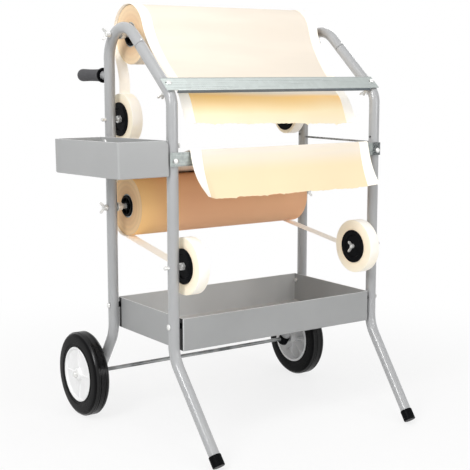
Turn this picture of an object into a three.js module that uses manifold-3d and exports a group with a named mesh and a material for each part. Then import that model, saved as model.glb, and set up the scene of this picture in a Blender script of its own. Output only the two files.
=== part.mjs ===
// Masking paper dispenser trolley: two bent tube side frames carry two paper rolls,
// four tape rolls, two cutter bars, two trays and a pair of wheels.
// Millimetres, +Z up, X across the trolley, the cutter bars face -Y.
import * as THREE from 'three';
import { mergeVertices } from 'three/addons/utils/BufferGeometryUtils.js';
import Module from 'manifold-3d';

const wasm = await Module();
wasm.setup();

const degrees = THREE.MathUtils.degToRad;
const vector = (x, y, z) => new THREE.Vector3(x, y, z);
const xAxis = vector(1, 0, 0);
const yAxis = vector(0, 1, 0);
const zAxis = vector(0, 0, 1);

// Driving dimensions: the paper's width sets how far apart the side frames stand
const paperWidth = 600;
const rollSideRoom = 50;
const frameDepth = 336;
const tubeRadius = 15.5;
const lowerBendHeight = 262;
const shoulderHeight = 955.5;
const slantAngle = degrees(40);
const frontLegLean = degrees(38);
const frontLegToeIn = degrees(3.8);
const lowerBendRadius = 100;
const shoulderBendRadius = 60;
const hoopBendRadius = 86;
const seamSetback = 49.2;
const swageRadius = 13;
const swageLength = 35;
const seamScrewRadius = 3.2;
const seamScrewHeight = 1.8;
const seamScrewInset = 9;

// Clearances shared by all pieces
const seatGap = 0.3;
const runGap = 0.5;
const cutOverrun = 2;
const weldTolerance = 0.001;

// Smoothness of round pieces
const tubeSides = 16;
const bendStep = degrees(15);
const rodSides = 10;
const boltSides = 8;
const nutSides = 6;
const rollSides = 30;
const wheelSides = 24;
const hubSides = 16;
const flangeSides = 18;

// Caps on the tube ends
const capRadius = 17.3;
const capLength = 31.5;
const capFloor = 5;
const capRibs = 9;
const capRibDepth = 0.7;
const axleCapReach = 16;

// Push handles behind the rear uprights
const handleDrop = 44.5;
const handleTubeRadius = 12.5;
const gripSetback = 34;
const gripLength = 138;
const gripRadius = 18;
const gripFlangeRadius = 21.5;
const gripFlangeWidth = 6;
const gripWaist = 1.2;
const gripEndRound = 9;
const gripFloor = 4;

// Wheels and their axle
const wheelRadius = 125.6;
const axleSetback = 94.5;
const wheelWidth = 48;
const wheelOutreach = 76.8;
const tyreDepth = 43.1;
const tyreShoulder = 11;
const treadGroove = 4;
const treadGrooveDepth = 2.6;
const treadGrooveOffset = 9;
const rimBandDepth = 7;
const rimWebThickness = 4;
const rimWebInset = 9;
const rimHubRadius = 17;
const rimHubInner = 9;
const rimHubOuter = 1.5;
const rimRibs = 4;
const rimRibWidth = 5;
const rimRibHeight = 3.5;
const axleRadius = 6;
const axleNutRadius = 10;
const axleNutLength = 7;

// Lower tray between the uprights
const lowerTraySideRoom = 5.5;
const lowerTrayFrontLap = 13.5;
const lowerTrayBackLap = 9.4;
const lowerTrayRise = 14;
const lowerTrayDepth = 90;
const traySheet = 2;
const trayCorner = 6;
const trayStudDrop = 21;
const trayStudRadius = 4;
const trayHeadRadius = 8;
const trayHeadHeight = 3.5;
const trayNutRadius = 7;
const trayNutHeight = 5;

// Side tray outside the left frame
const sideTrayWidth = 152;
const sideTrayFrontLap = 12;
const sideTrayBackLap = 16;
const sideTrayDrop = 112.5;
const sideTrayDepth = 94;
const sideTrayTilt = degrees(1.3);
const sideTrayNotch = 12;
const sideStudDrop = 15;

// Cutter bars across the front
const barLeftOverhang = 17.5;
const barRightOverhang = 10.5;
const barSheet = 2;
const barLip = 10;
const barLipTubeRoom = 2;
const upperBoltAlong = 34;
const upperBarBelowBolt = 28;
const upperBarAboveBolt = 20;
const lowerBoltDrop = 166.5;
const lowerBarBelowBolt = 14;
const lowerBarAboveBolt = 23;
const clampBoltRadius = 4;
const clampHeadRadius = 7;
const clampHeadHeight = 4;
const clampBoltTail = 20;
const wingBossRadius = 6.5;
const wingBossLength = 8;
const wingSpan = 34;
const wingRise = 17;
const wingRoot = 5.5;
const wingDip = 6;
const wingThickness = 3;

// Thin side rods between the uprights, level with the lower bar's top
const sideRodRadius = 3;
const sideRodSocket = 6;

// Paper rolls
const upperSpindleAngle = degrees(53);
const lowerRollDrop = 322.5;
const upperPaperRadius = 83;
const lowerPaperRadius = 86.5;
const coreInner = 31;
const coreOuter = 34.5;
const coreRecess = 1.5;
const plugLength = 38;
const plugLip = 5;
const spindleRadius = 7;
const spindleInside = 26;
const collarRadius = 13;
const collarLength = 16;
const knobRadius = 9;
const knobLength = 13;

// Tape rolls
const tapeWidth = 34;
const leftTapeOverlap = 15;
const rightTapeOverlap = 24;
const upperLeftTapeRadius = 73;
const upperRightTapeRadius = 59;
const lowerTapeRadius = 78;
const tapeBore = 38;
const tapeFlangeRadius = 48.5;
const tapeFlangeThickness = 3;
const tapeRecessRadius = 34;
const tapeHubRecess = 4;
const upperTapeDrop = 71.5;
const lowerTapeRoom = 62;
const tapeSpindleRadius = 5;
const tapeSpindleTail = 13;
const tapeNutRadius = 11;
const tapeNutLength = 9;

// Paper sheets and the tape strips along their edges
const paperSheet = 0.8;
const stripSheet = 0.5;
const wrapGap = 1;
const stripOverhang = 8;
const wrapStep = degrees(12);
const drapeSteps = 7;
const upperWrapStart = degrees(-5);
const upperWrapEnd = degrees(163);
const lowerWrapStart = degrees(-88);
const upperRunPull = 72;
const upperGuideSetback = 66;
const upperGuideRise = 7.5;
const upperGuidePull = 70;
const upperGuideSlope = degrees(218);
const upperHangDepth = 87;
const upperHangForward = 44;
const lowerCrestGap = 1.2;
const lowerHangDepth = 124;
const lowerHangForward = 40;
const lowerHangPull = 50;
const lowerHangSlope = degrees(12);
const curlWidth = 60;
const upperLeftCurl = 4;
const upperRightCurl = 14;
const lowerLeftCurl = 42;
const lowerRightCurl = 16;
const upperSkew = 19;
const upperWebPull = 75;
const lowerWebSlope = degrees(9);
const peelGap = 0.8;

// Derived places
const halfPaper = paperWidth / 2;
const halfSpacing = halfPaper + rollSideRoom;
const slantAlong = vector(0, Math.cos(slantAngle), Math.sin(slantAngle));
const slantNormal = vector(0, -Math.sin(slantAngle), Math.cos(slantAngle));
const hoopVertexHeight = shoulderHeight + frameDepth * Math.tan(slantAngle);
const hoopTurn = Math.PI / 2 + slantAngle;
const hoopCentreY = frameDepth - hoopBendRadius;
const hoopTangent = hoopBendRadius * Math.tan(hoopTurn / 2);
const hoopCentreZ = hoopVertexHeight - hoopTangent;
const seamReach = frameDepth / Math.cos(slantAngle) - hoopTangent - seamSetback;
const handleHeight = hoopCentreZ - handleDrop;
const gripStart = frameDepth + gripSetback;
const gripEnd = gripStart + gripLength;
const axleY = frameDepth + axleSetback;
const wheelOuterFace = halfSpacing + wheelOutreach;
const rimRadius = wheelRadius - tyreDepth;
const footCentreHeight = capRadius * Math.sin(frontLegLean);
const holeRadius = (radius) => radius + seatGap;
const runningBore = (radius) => radius + runGap;
const tubeFace = halfSpacing - tubeRadius;
const tubeOutside = halfSpacing + tubeRadius;
const lowerTrayHalfLength = tubeFace - lowerTraySideRoom;
const lowerTrayBottom = lowerBendHeight + lowerTrayRise;
const lowerTrayTop = lowerTrayBottom + lowerTrayDepth;
const trayStudHeight = lowerTrayTop - trayStudDrop;
const sideTrayTop = shoulderHeight - sideTrayDrop;
const sideTrayBottom = sideTrayTop - sideTrayDepth;
const sideStudHeight = sideTrayTop - sideStudDrop;
const sideStudAt = (y) => sideStudHeight - y * Math.tan(sideTrayTilt);
const barLeftEnd = -(halfSpacing + barLeftOverhang);
const barRightEnd = halfSpacing + barRightOverhang;
const upperBarLow = upperBoltAlong - upperBarBelowBolt;
const upperBarHigh = upperBoltAlong + upperBarAboveBolt;
const lowerBoltHeight = shoulderHeight - lowerBoltDrop;
const lowerBarBottom = lowerBoltHeight - lowerBarBelowBolt;
const lowerBarTop = lowerBoltHeight + lowerBarAboveBolt;
const sideRodHeight = lowerBarTop;
const tapeInnerFace = (side) => halfPaper - (side < 0 ? leftTapeOverlap : rightTapeOverlap);
const tapeOuterFace = (side) => tapeInnerFace(side) + tapeWidth;
const tapeRadii = {
  upper: (side) => (side < 0 ? upperLeftTapeRadius : upperRightTapeRadius),
  lower: () => lowerTapeRadius,
};
const upperGuide = { y: upperGuideSetback, z: shoulderHeight + upperGuideRise };
const rolls = {
  upper: {
    y: hoopCentreY + hoopBendRadius * Math.cos(upperSpindleAngle),
    z: hoopCentreZ + hoopBendRadius * Math.sin(upperSpindleAngle),
    radius: upperPaperRadius,
  },
  lower: { y: frameDepth, z: shoulderHeight - lowerRollDrop, radius: lowerPaperRadius },
};
const tapes = {
  upper: { y: frameDepth, z: shoulderHeight - upperTapeDrop },
  lower: { y: 0, z: lowerTrayTop + lowerTapeRoom + lowerTapeRadius },
};

// Materials
const finish = (color, roughness, metalness) => (
  new THREE.MeshStandardMaterial({ color, roughness, metalness })
);
const framePaint = finish(0xa9abac, 0.45, 0.2);
const trayPaint = finish(0x9c9e9f, 0.5, 0.15);
const zinc = finish(0xb9c2c0, 0.35, 0.85);
const steel = finish(0xd4d6d8, 0.3, 0.9);
const blackPlastic = finish(0x16171a, 0.5, 0);
const gripRubber = finish(0x3c3d40, 0.75, 0);
const tyreRubber = finish(0x1c1d1f, 0.8, 0);
const rimPlastic = finish(0xe6e6e4, 0.5, 0);
const creamPaper = finish(0xfbeccb, 0.9, 0);
const kraftPaper = finish(0xd9a878, 0.9, 0);
const coreBoard = finish(0x2f9fb4, 0.6, 0);
const tapePaper = finish(0xf6e8c8, 0.85, 0);

// A closed solid from any three.js geometry: shared corners merged, faces turned out
function solid(geometry) {
  const bare = new THREE.BufferGeometry();
  bare.setAttribute('position', geometry.getAttribute('position'));
  bare.setIndex(geometry.getIndex());
  const merged = mergeVertices(bare, weldTolerance);
  const places = merged.getAttribute('position').array;
  const corner = (index) => vector().fromArray(places, index * 3);
  const index = merged.getIndex().array;
  const faces = [];
  let volume = 0;
  for (let i = 0; i < index.length; i += 3) {
    const [a, b, c] = [index[i], index[i + 1], index[i + 2]];
    if (a === b || b === c || c === a) continue;
    faces.push([a, b, c]);
    volume += corner(a).dot(corner(b).cross(corner(c)));
  }
  const turned = volume < 0 ? faces.map(([a, b, c]) => [a, c, b]) : faces;
  return new wasm.Manifold(new wasm.Mesh({
    numProp: 3,
    vertProperties: new Float32Array(places),
    triVerts: new Uint32Array(turned.flat()),
  }));
}

function geometryOf(body) {
  const mesh = body.getMesh();
  const geometry = new THREE.BufferGeometry();
  geometry.setAttribute('position', new THREE.BufferAttribute(mesh.vertProperties, 3));
  geometry.setIndex(new THREE.BufferAttribute(mesh.triVerts, 1));
  geometry.computeVertexNormals();
  return geometry;
}

function piece(name, body, material) {
  const mesh = new THREE.Mesh(geometryOf(body), material);
  mesh.name = name;
  return mesh;
}

const joined = (bodies) => bodies.reduce((whole, body) => whole.add(body));
const cutBy = (body, tools) => tools.reduce((rest, tool) => rest.subtract(tool), body);
const sideName = (side) => (side < 0 ? 'left' : 'right');

// A path of straight runs and round bends, with one ring at each end of a run and along each bend
class BentPath extends THREE.Curve {
  constructor(points, bendRadii) {
    super();
    const last = points.length - 1;
    const headings = points.slice(1).map((point, i) => point.clone().sub(points[i]).normalize());
    this.rings = [{ at: points[0], heading: headings[0] }];
    bendRadii.forEach((radius, i) => this.addBend(points[i + 1], headings[i], headings[i + 1], radius));
    this.rings.push({ at: points[last], heading: headings[last - 1] });
  }

  addBend(corner, from, to, radius) {
    const turn = from.angleTo(to);
    const inward = to.clone().addScaledVector(from, -to.dot(from)).normalize();
    const start = corner.clone().addScaledVector(from, -radius * Math.tan(turn / 2));
    const steps = Math.ceil(turn / bendStep);
    for (let i = 0; i <= steps; i++) {
      const angle = (turn * i) / steps;
      const at = start.clone().addScaledVector(from, radius * Math.sin(angle));
      at.addScaledVector(inward, radius * (1 - Math.cos(angle)));
      const heading = from.clone().multiplyScalar(Math.cos(angle)).addScaledVector(inward, Math.sin(angle));
      this.rings.push({ at, heading });
    }
  }

  ringAt(share) {
    return this.rings[Math.round(share * (this.rings.length - 1))];
  }

  getPointAt(share, target = vector()) {
    return target.copy(this.ringAt(share).at);
  }

  getTangentAt(share, target = vector()) {
    return target.copy(this.ringAt(share).heading);
  }
}

function bentTube(path, radius) {
  const section = new THREE.Shape().absarc(0, 0, radius, 0, 2 * Math.PI);
  const steps = path.rings.length - 1;
  const shaping = { steps, curveSegments: tubeSides / 2, extrudePath: path };
  return solid(new THREE.ExtrudeGeometry(section, shaping));
}

// A straight round bar between two points
function rod(radius, from, to, sides = rodSides) {
  const span = to.clone().sub(from);
  const bar = new THREE.CylinderGeometry(radius, radius, span.length(), sides);
  bar.applyQuaternion(new THREE.Quaternion().setFromUnitVectors(yAxis, span.clone().normalize()));
  const middle = from.clone().add(to).multiplyScalar(0.5);
  return solid(bar.translate(middle.x, middle.y, middle.z));
}

const rodAcross = (radius, side, from, to, y, z, sides = rodSides) => rod(
  radius, vector(side * from, y, z), vector(side * to, y, z), sides,
);

// A profile of [distance, radius] pairs turned about an axis through a point
function turned(profile, axis, at, sides) {
  const outline = profile.map(([along, radius]) => new THREE.Vector2(radius, along));
  const body = new THREE.LatheGeometry(outline, sides);
  body.applyQuaternion(new THREE.Quaternion().setFromUnitVectors(yAxis, axis));
  return solid(body.translate(at.x, at.y, at.z));
}

// A closed ring turned about X, from one side face to the other
const ringAcross = (inner, outer, side, from, to, y, z, sides) => turned([
  [side * from, inner], [side * from, outer], [side * to, outer], [side * to, inner], [side * from, inner],
], xAxis, vector(0, y, z), sides);

// An outline drawn in Y and Z, carried along X
function alongX(outline, from, to) {
  const shaping = { depth: to - from, bevelEnabled: false, curveSegments: 3 };
  const slab = new THREE.ExtrudeGeometry(outline, shaping);
  slab.applyMatrix4(new THREE.Matrix4().makeBasis(yAxis, zAxis, xAxis));
  return solid(slab.translate(from, 0, 0));
}

function box(minX, maxX, minY, maxY, minZ, maxZ) {
  const block = new THREE.BoxGeometry(maxX - minX, maxY - minY, maxZ - minZ);
  return solid(block.translate((minX + maxX) / 2, (minY + maxY) / 2, (minZ + maxZ) / 2));
}

// A pair of wings standing on an axis, spread to both sides of it
function nutWings(base, axis, across) {
  const outline = new THREE.Shape();
  outline.moveTo(-wingRoot, 0).lineTo(wingRoot, 0).lineTo(wingSpan / 2, wingRise - wingRoot);
  outline.lineTo(wingSpan / 2 - wingRoot, wingRise).lineTo(0, wingDip);
  outline.lineTo(wingRoot - wingSpan / 2, wingRise).lineTo(-wingSpan / 2, wingRise - wingRoot);
  const plate = new THREE.ExtrudeGeometry(outline, { depth: wingThickness, bevelEnabled: false });
  plate.translate(0, 0, -wingThickness / 2);
  plate.applyMatrix4(new THREE.Matrix4().makeBasis(across, axis, across.clone().cross(axis)));
  return solid(plate.translate(base.x, base.y, base.z));
}

function wingNut(base, axis, across) {
  const tip = base.clone().addScaledVector(axis, wingBossLength);
  const root = base.clone().addScaledVector(axis, wingDip / 2);
  return rod(wingBossRadius, base, tip, boltSides).add(nutWings(root, axis, across));
}

// Side frames
const slantPoint = (along, lift = 0) => vector(0, 0, shoulderHeight)
  .addScaledVector(slantAlong, along).addScaledVector(slantNormal, lift);
const atSide = (side, point) => point.clone().add(vector(side * halfSpacing, 0, 0));

function frontLegDirection(side) {
  const forward = vector(-side * Math.sin(frontLegToeIn), -Math.cos(frontLegToeIn), 0);
  return forward.multiplyScalar(Math.sin(frontLegLean)).addScaledVector(zAxis, -Math.cos(frontLegLean));
}

function footPoint(side) {
  const drop = lowerBendHeight - footCentreHeight;
  const corner = vector(side * halfSpacing, 0, lowerBendHeight);
  return corner.addScaledVector(frontLegDirection(side), drop / Math.cos(frontLegLean));
}

const rearLegDirection = vector(0, axleSetback, wheelRadius - lowerBendHeight).normalize();
const rearCapPoint = (side) => vector(side * halfSpacing, axleY, wheelRadius)
  .addScaledVector(rearLegDirection, axleCapReach);
const trayBoltHoles = (side, y) => rodAcross(
  holeRadius(trayStudRadius), side, tubeFace - cutOverrun, tubeOutside + cutOverrun,
  y, trayStudHeight, boltSides,
);
const sideTrayHoles = (side, y) => rodAcross(
  holeRadius(trayStudRadius), side, tubeFace - cutOverrun, tubeOutside + cutOverrun,
  y, sideStudAt(y), boltSides,
);
const spindleHole = (side, radius, place) => rodAcross(
  holeRadius(radius), side, tubeFace - cutOverrun, tubeOutside + cutOverrun, place.y, place.z,
);

function sideRodHole(side, y, inward) {
  const mouth = vector(side * halfSpacing, y + inward * (tubeRadius + cutOverrun), sideRodHeight);
  const floor = vector(side * halfSpacing, y + inward * (tubeRadius - sideRodSocket), sideRodHeight);
  return rod(holeRadius(sideRodRadius), mouth, floor, boltSides);
}

function upperBoltLine(side, from, to, radius) {
  const place = (lift) => atSide(side, slantPoint(upperBoltAlong, lift));
  return rod(radius, place(from), place(to), boltSides);
}

function lowerBoltLine(side, from, to, radius) {
  const x = side * halfSpacing;
  return rod(radius, vector(x, from, lowerBoltHeight), vector(x, to, lowerBoltHeight), boltSides);
}

function seamScrew(side) {
  const along = seamReach + seamScrewInset;
  const foot = atSide(side, slantPoint(along, 0));
  const top = atSide(side, slantPoint(along, tubeRadius + seamScrewHeight));
  return rod(seamScrewRadius, foot, top, boltSides);
}

// Foot, splayed leg, upright, slant and the narrowed end that enters the rear hoop
function frontLeg(side) {
  const legEnd = footPoint(side).addScaledVector(frontLegDirection(side), -(capFloor + seatGap));
  const path = new BentPath([
    legEnd,
    vector(side * halfSpacing, 0, lowerBendHeight),
    vector(side * halfSpacing, 0, shoulderHeight),
    atSide(side, slantPoint(seamReach)),
  ], [lowerBendRadius, shoulderBendRadius]);
  const swageRoot = atSide(side, slantPoint(seamReach - tubeRadius));
  const swage = rod(swageRadius, swageRoot, atSide(side, slantPoint(seamReach + swageLength)), tubeSides);
  const boltDepth = tubeRadius + cutOverrun;
  return cutBy(bentTube(path, tubeRadius).add(swage), [
    trayBoltHoles(side, 0),
    sideTrayHoles(side, 0),
    spindleHole(side, tapeSpindleRadius, tapes.lower),
    sideRodHole(side, 0, 1),
    upperBoltLine(side, -boltDepth, boltDepth, holeRadius(clampBoltRadius)),
    lowerBoltLine(side, -boltDepth, boltDepth, holeRadius(clampBoltRadius)),
  ]);
}

// Slant, top arc, rear upright, raked leg and the push handle tube welded behind the upright
function rearHoop(side) {
  const x = side * halfSpacing;
  const legEnd = rearCapPoint(side).addScaledVector(rearLegDirection, -(capFloor + seatGap));
  const path = new BentPath([
    atSide(side, slantPoint(seamReach + seatGap)),
    vector(x, frameDepth, hoopVertexHeight),
    vector(x, frameDepth, lowerBendHeight),
    legEnd,
  ], [hoopBendRadius, lowerBendRadius]);
  const socketFloor = seamReach + swageLength + seatGap;
  const socket = rod(holeRadius(swageRadius), atSide(side, slantPoint(seamReach - cutOverrun)),
    atSide(side, slantPoint(socketFloor)), tubeSides);
  const handle = rod(handleTubeRadius, vector(x, frameDepth, handleHeight),
    vector(x, gripEnd - gripFloor - seatGap, handleHeight), tubeSides);
  const whole = bentTube(path, tubeRadius).add(handle).subtract(socket);
  const screwed = whole.add(seamScrew(side).subtract(socket));
  return cutBy(screwed, [
    trayBoltHoles(side, frameDepth),
    sideTrayHoles(side, frameDepth),
    spindleHole(side, spindleRadius, rolls.upper),
    spindleHole(side, spindleRadius, rolls.lower),
    spindleHole(side, tapeSpindleRadius, tapes.upper),
    spindleHole(side, axleRadius, { y: axleY, z: wheelRadius }),
    sideRodHole(side, frameDepth, -1),
  ]);
}

// A ribbed cup that closes a tube end, drawn with its floor at the origin and its mouth along +Z
function tubeCap() {
  const outline = new THREE.Shape();
  for (let i = 0; i < capRibs * 2; i++) {
    const angle = (Math.PI * i) / capRibs;
    const radius = i % 2 ? capRadius - capRibDepth : capRadius;
    const corner = [radius * Math.cos(angle), radius * Math.sin(angle)];
    if (i === 0) outline.moveTo(...corner);
    else outline.lineTo(...corner);
  }
  outline.closePath();
  const cup = solid(new THREE.ExtrudeGeometry(outline, { depth: capLength, bevelEnabled: false }));
  const mouth = vector(0, 0, capLength + cutOverrun);
  const bore = rod(holeRadius(tubeRadius), vector(0, 0, capFloor), mouth, tubeSides);
  return cup.subtract(bore);
}

// Turns a cap to its tube, with the first rib at its lowest point
function capTurn(upTheTube) {
  const lowest = zAxis.clone().negate().addScaledVector(upTheTube, upTheTube.z).normalize();
  return new THREE.Matrix4().makeBasis(lowest, upTheTube.clone().cross(lowest), upTheTube);
}

function footCap(side) {
  const cap = piece(`foot_cap_${sideName(side)}`, tubeCap(), blackPlastic);
  cap.position.copy(footPoint(side));
  cap.quaternion.setFromRotationMatrix(capTurn(frontLegDirection(side).negate()));
  return cap;
}

function axleCap(side) {
  const cup = geometryOf(tubeCap()).applyMatrix4(capTurn(rearLegDirection.clone().negate()));
  const at = rearCapPoint(side);
  const reach = capRadius + cutOverrun;
  const [from, to] = [halfSpacing - reach, halfSpacing + reach];
  const hole = rodAcross(holeRadius(axleRadius), side, from, to, axleY, wheelRadius);
  const body = solid(cup.translate(at.x, at.y, at.z)).subtract(hole);
  return piece(`axle_cap_${sideName(side)}`, body, blackPlastic);
}

function handleGrip(side) {
  const bore = holeRadius(handleTubeRadius);
  const flangeEnd = gripStart + gripFlangeWidth;
  const profile = [
    [gripStart, bore], [gripStart, gripFlangeRadius], [flangeEnd, gripFlangeRadius],
    [flangeEnd + gripFlangeWidth, gripRadius], [(flangeEnd + gripEnd) / 2, gripRadius - gripWaist],
    [gripEnd - gripEndRound * 2, gripRadius], [gripEnd - gripEndRound, gripRadius],
    [gripEnd - gripEndRound / 3, gripRadius - gripEndRound / 3], [gripEnd, gripRadius - gripEndRound],
    [gripEnd, 0], [gripEnd - gripFloor, 0], [gripEnd - gripFloor, bore], [gripStart, bore],
  ];
  const grip = turned(profile, yAxis, vector(side * halfSpacing, 0, handleHeight), tubeSides);
  return piece(`handle_grip_${sideName(side)}`, grip, gripRubber);
}

// Wheels
const wheelInnerFace = wheelOuterFace - wheelWidth;
const wheelMiddle = (wheelOuterFace + wheelInnerFace) / 2;
const wheelCentre = vector(0, axleY, wheelRadius);

const arcShares = [0, 0.5, 1];

function shoulderArc(faceX, outward) {
  const centreX = faceX - outward * tyreShoulder;
  const centreR = wheelRadius - tyreShoulder;
  return arcShares.map((share) => {
    const angle = (share * Math.PI) / 2;
    return [centreX + outward * tyreShoulder * Math.cos(angle), centreR + tyreShoulder * Math.sin(angle)];
  });
}

function grooveAt(along) {
  const half = treadGroove / 2;
  const floor = wheelRadius - treadGrooveDepth;
  return [[along - half, wheelRadius], [along, floor], [along + half, wheelRadius]];
}

function wheelTyre(side) {
  const profile = [
    [wheelInnerFace, rimRadius],
    ...shoulderArc(wheelInnerFace, -1),
    ...grooveAt(wheelMiddle - treadGrooveOffset),
    ...grooveAt(wheelMiddle + treadGrooveOffset),
    ...shoulderArc(wheelOuterFace, 1).reverse(),
    [wheelOuterFace, rimRadius],
    [wheelInnerFace, rimRadius],
  ].map(([along, radius]) => [side * along, radius]);
  return piece(`wheel_tyre_${sideName(side)}`, turned(profile, xAxis, wheelCentre, wheelSides), tyreRubber);
}

function wheelRim(side) {
  const seat = rimRadius - seatGap;
  const band = seat - rimBandDepth;
  const webOuter = wheelOuterFace - rimWebInset;
  const webInner = webOuter - rimWebThickness;
  const hubOut = wheelOuterFace + rimHubOuter;
  const hubIn = wheelInnerFace - rimHubInner;
  const bore = runningBore(axleRadius);
  const profile = [
    [hubIn, bore], [hubIn, rimHubRadius], [webInner, rimHubRadius], [webInner, band],
    [wheelInnerFace, band], [wheelInnerFace, seat], [wheelOuterFace, seat], [wheelOuterFace, band],
    [webOuter, band], [webOuter, rimHubRadius], [hubOut, rimHubRadius], [hubOut, bore], [hubIn, bore],
  ].map(([along, radius]) => [side * along, radius]);
  let rim = turned(profile, xAxis, wheelCentre, wheelSides);
  for (let i = 0; i < rimRibs; i++) {
    const length = band - rimHubRadius + rimBandDepth;
    const rib = new THREE.BoxGeometry(rimRibHeight * 2, rimRibWidth, length);
    rib.translate(side * webOuter, 0, rimHubRadius + length / 2 - rimBandDepth / 2);
    rib.rotateX((2 * Math.PI * i) / rimRibs);
    rim = rim.add(solid(rib.translate(0, axleY, wheelRadius)));
  }
  return piece(`wheel_rim_${sideName(side)}`, rim, rimPlastic);
}

const axleEnd = wheelOuterFace + rimHubOuter + seatGap + axleNutLength;

function axle() {
  return piece('axle', rodAcross(axleRadius, 1, -axleEnd, axleEnd, axleY, wheelRadius), zinc);
}

function axleNut(side) {
  const start = wheelOuterFace + rimHubOuter + seatGap;
  const end = start + axleNutLength + seatGap;
  const bore = holeRadius(axleRadius);
  const dome = end + axleNutLength / 2;
  const profile = [
    [start, bore], [start, axleNutRadius], [end, axleNutRadius], [dome, axleNutRadius / 2], [dome, 0],
    [end, 0], [end, bore], [start, bore],
  ].map(([along, radius]) => [side * along, radius]);
  return piece(`axle_nut_${sideName(side)}`, turned(profile, xAxis, wheelCentre, rodSides), zinc);
}

// Trays
function roundedOutline(minX, maxX, minY, maxY, radius) {
  const outline = new THREE.Shape();
  outline.moveTo(minX + radius, minY);
  outline.lineTo(maxX - radius, minY).absarc(maxX - radius, minY + radius, radius, -Math.PI / 2, 0);
  outline.lineTo(maxX, maxY - radius).absarc(maxX - radius, maxY - radius, radius, 0, Math.PI / 2);
  outline.lineTo(minX + radius, maxY).absarc(minX + radius, maxY - radius, radius, Math.PI / 2, Math.PI);
  outline.lineTo(minX, minY + radius).absarc(minX + radius, minY + radius, radius, Math.PI, 1.5 * Math.PI);
  return outline;
}

function openTray(minX, maxX, minY, maxY, bottom, top) {
  const prism = (inset, from, to) => {
    const outline = roundedOutline(minX + inset, maxX - inset, minY + inset, maxY - inset,
      trayCorner - inset);
    const shaping = { depth: to - from, bevelEnabled: false, curveSegments: 2 };
    const block = new THREE.ExtrudeGeometry(outline, shaping);
    return solid(block.translate(0, 0, from));
  };
  return prism(0, bottom, top).subtract(prism(traySheet, bottom + traySheet, top + cutOverrun));
}

// A bolt through a tray wall and a tube, with its head outside the tube
function trayStud(side, wall, y, height, headStart) {
  const inner = wall - traySheet - trayNutHeight;
  return joined([
    rodAcross(trayStudRadius, side, inner, headStart + trayHeadHeight, y, height, boltSides),
    rodAcross(trayNutRadius, side, inner, wall - traySheet / 2, y, height, nutSides),
    rodAcross(trayHeadRadius, side, wall - traySheet / 2, tubeFace - seatGap, y, height, boltSides),
    rodAcross(trayHeadRadius, side, headStart, headStart + trayHeadHeight, y, height, boltSides),
  ]);
}

function lowerTray() {
  const half = lowerTrayHalfLength;
  const back = frameDepth + lowerTrayBackLap;
  let tray = openTray(-half, half, -lowerTrayFrontLap, back, lowerTrayBottom, lowerTrayTop);
  for (const side of [-1, 1]) {
    for (const y of [0, frameDepth]) {
      tray = tray.add(trayStud(side, half, y, trayStudHeight, tubeOutside + seatGap));
    }
  }
  return piece('lower_tray', tray, trayPaint);
}

// The side tray hangs on two bolts through the left uprights, a little lower at the back
function tippedBack(tray) {
  const turn = [-THREE.MathUtils.radToDeg(sideTrayTilt), 0, 0];
  return tray.translate([0, 0, -sideStudHeight]).rotate(turn).translate([0, 0, sideStudHeight]);
}

function sideTray() {
  const inner = -(tubeOutside + seatGap);
  const outer = inner - sideTrayWidth;
  const front = -sideTrayFrontLap;
  let tray = openTray(outer, inner, front, frameDepth + sideTrayBackLap, sideTrayBottom, sideTrayTop);
  const notch = box(inner - sideTrayNotch, inner + cutOverrun, front - cutOverrun,
    front + traySheet + cutOverrun, sideTrayTop - sideTrayNotch, sideTrayTop + cutOverrun);
  tray = tippedBack(tray.subtract(notch));
  for (const y of [0, frameDepth]) {
    const height = sideStudAt(y);
    const nutStart = tubeFace - seatGap - trayNutHeight;
    tray = joined([
      tray,
      rodAcross(trayStudRadius, -1, nutStart, -inner + traySheet + trayHeadHeight, y, height, boltSides),
      rodAcross(trayNutRadius, -1, nutStart, nutStart + trayNutHeight, y, height, nutSides),
      rodAcross(trayHeadRadius, -1, -inner + traySheet / 2, -inner + traySheet + trayHeadHeight, y, height),
    ]);
  }
  return piece('side_tray', tray, trayPaint);
}

// Cutter bars: a sheet strip whose lower edge turns square back between the tubes
function stripSection(start, end, across) {
  const stepped = (corner) => corner.clone().addScaledVector(across, barSheet);
  const corners = [start, end, stepped(end), stepped(start)];
  return new THREE.Shape(corners.map((corner) => new THREE.Vector2(corner.y, corner.z)));
}

function cutterBar(name, high, low, outward, holes) {
  const up = high.clone().sub(low).normalize();
  const strip = alongX(stripSection(high, low, outward), barLeftEnd, barRightEnd);
  const lipHalf = halfSpacing - tubeRadius - barLipTubeRoom;
  const root = low.clone().addScaledVector(outward, barSheet / 2);
  const tip = low.clone().addScaledVector(outward, -barLip);
  const lip = alongX(stripSection(root, tip, up), -lipHalf, lipHalf);
  return piece(name, cutBy(joined([strip, lip]), holes), zinc);
}

function upperCutterBar() {
  const rest = tubeRadius + seatGap;
  const holes = [-1, 1].map((side) => upperBoltLine(side, rest - cutOverrun, rest + barSheet + cutOverrun,
    holeRadius(clampBoltRadius)));
  return cutterBar('upper_cutter_bar', slantPoint(upperBarHigh, rest), slantPoint(upperBarLow, rest),
    slantNormal, holes);
}

function lowerCutterBar() {
  const rest = -(tubeRadius + seatGap);
  const holes = [-1, 1].map((side) => lowerBoltLine(side, rest + cutOverrun, rest - barSheet - cutOverrun,
    holeRadius(clampBoltRadius)));
  return cutterBar('lower_cutter_bar', vector(0, rest, lowerBarTop), vector(0, rest, lowerBarBottom),
    vector(0, -1, 0), holes);
}

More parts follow.
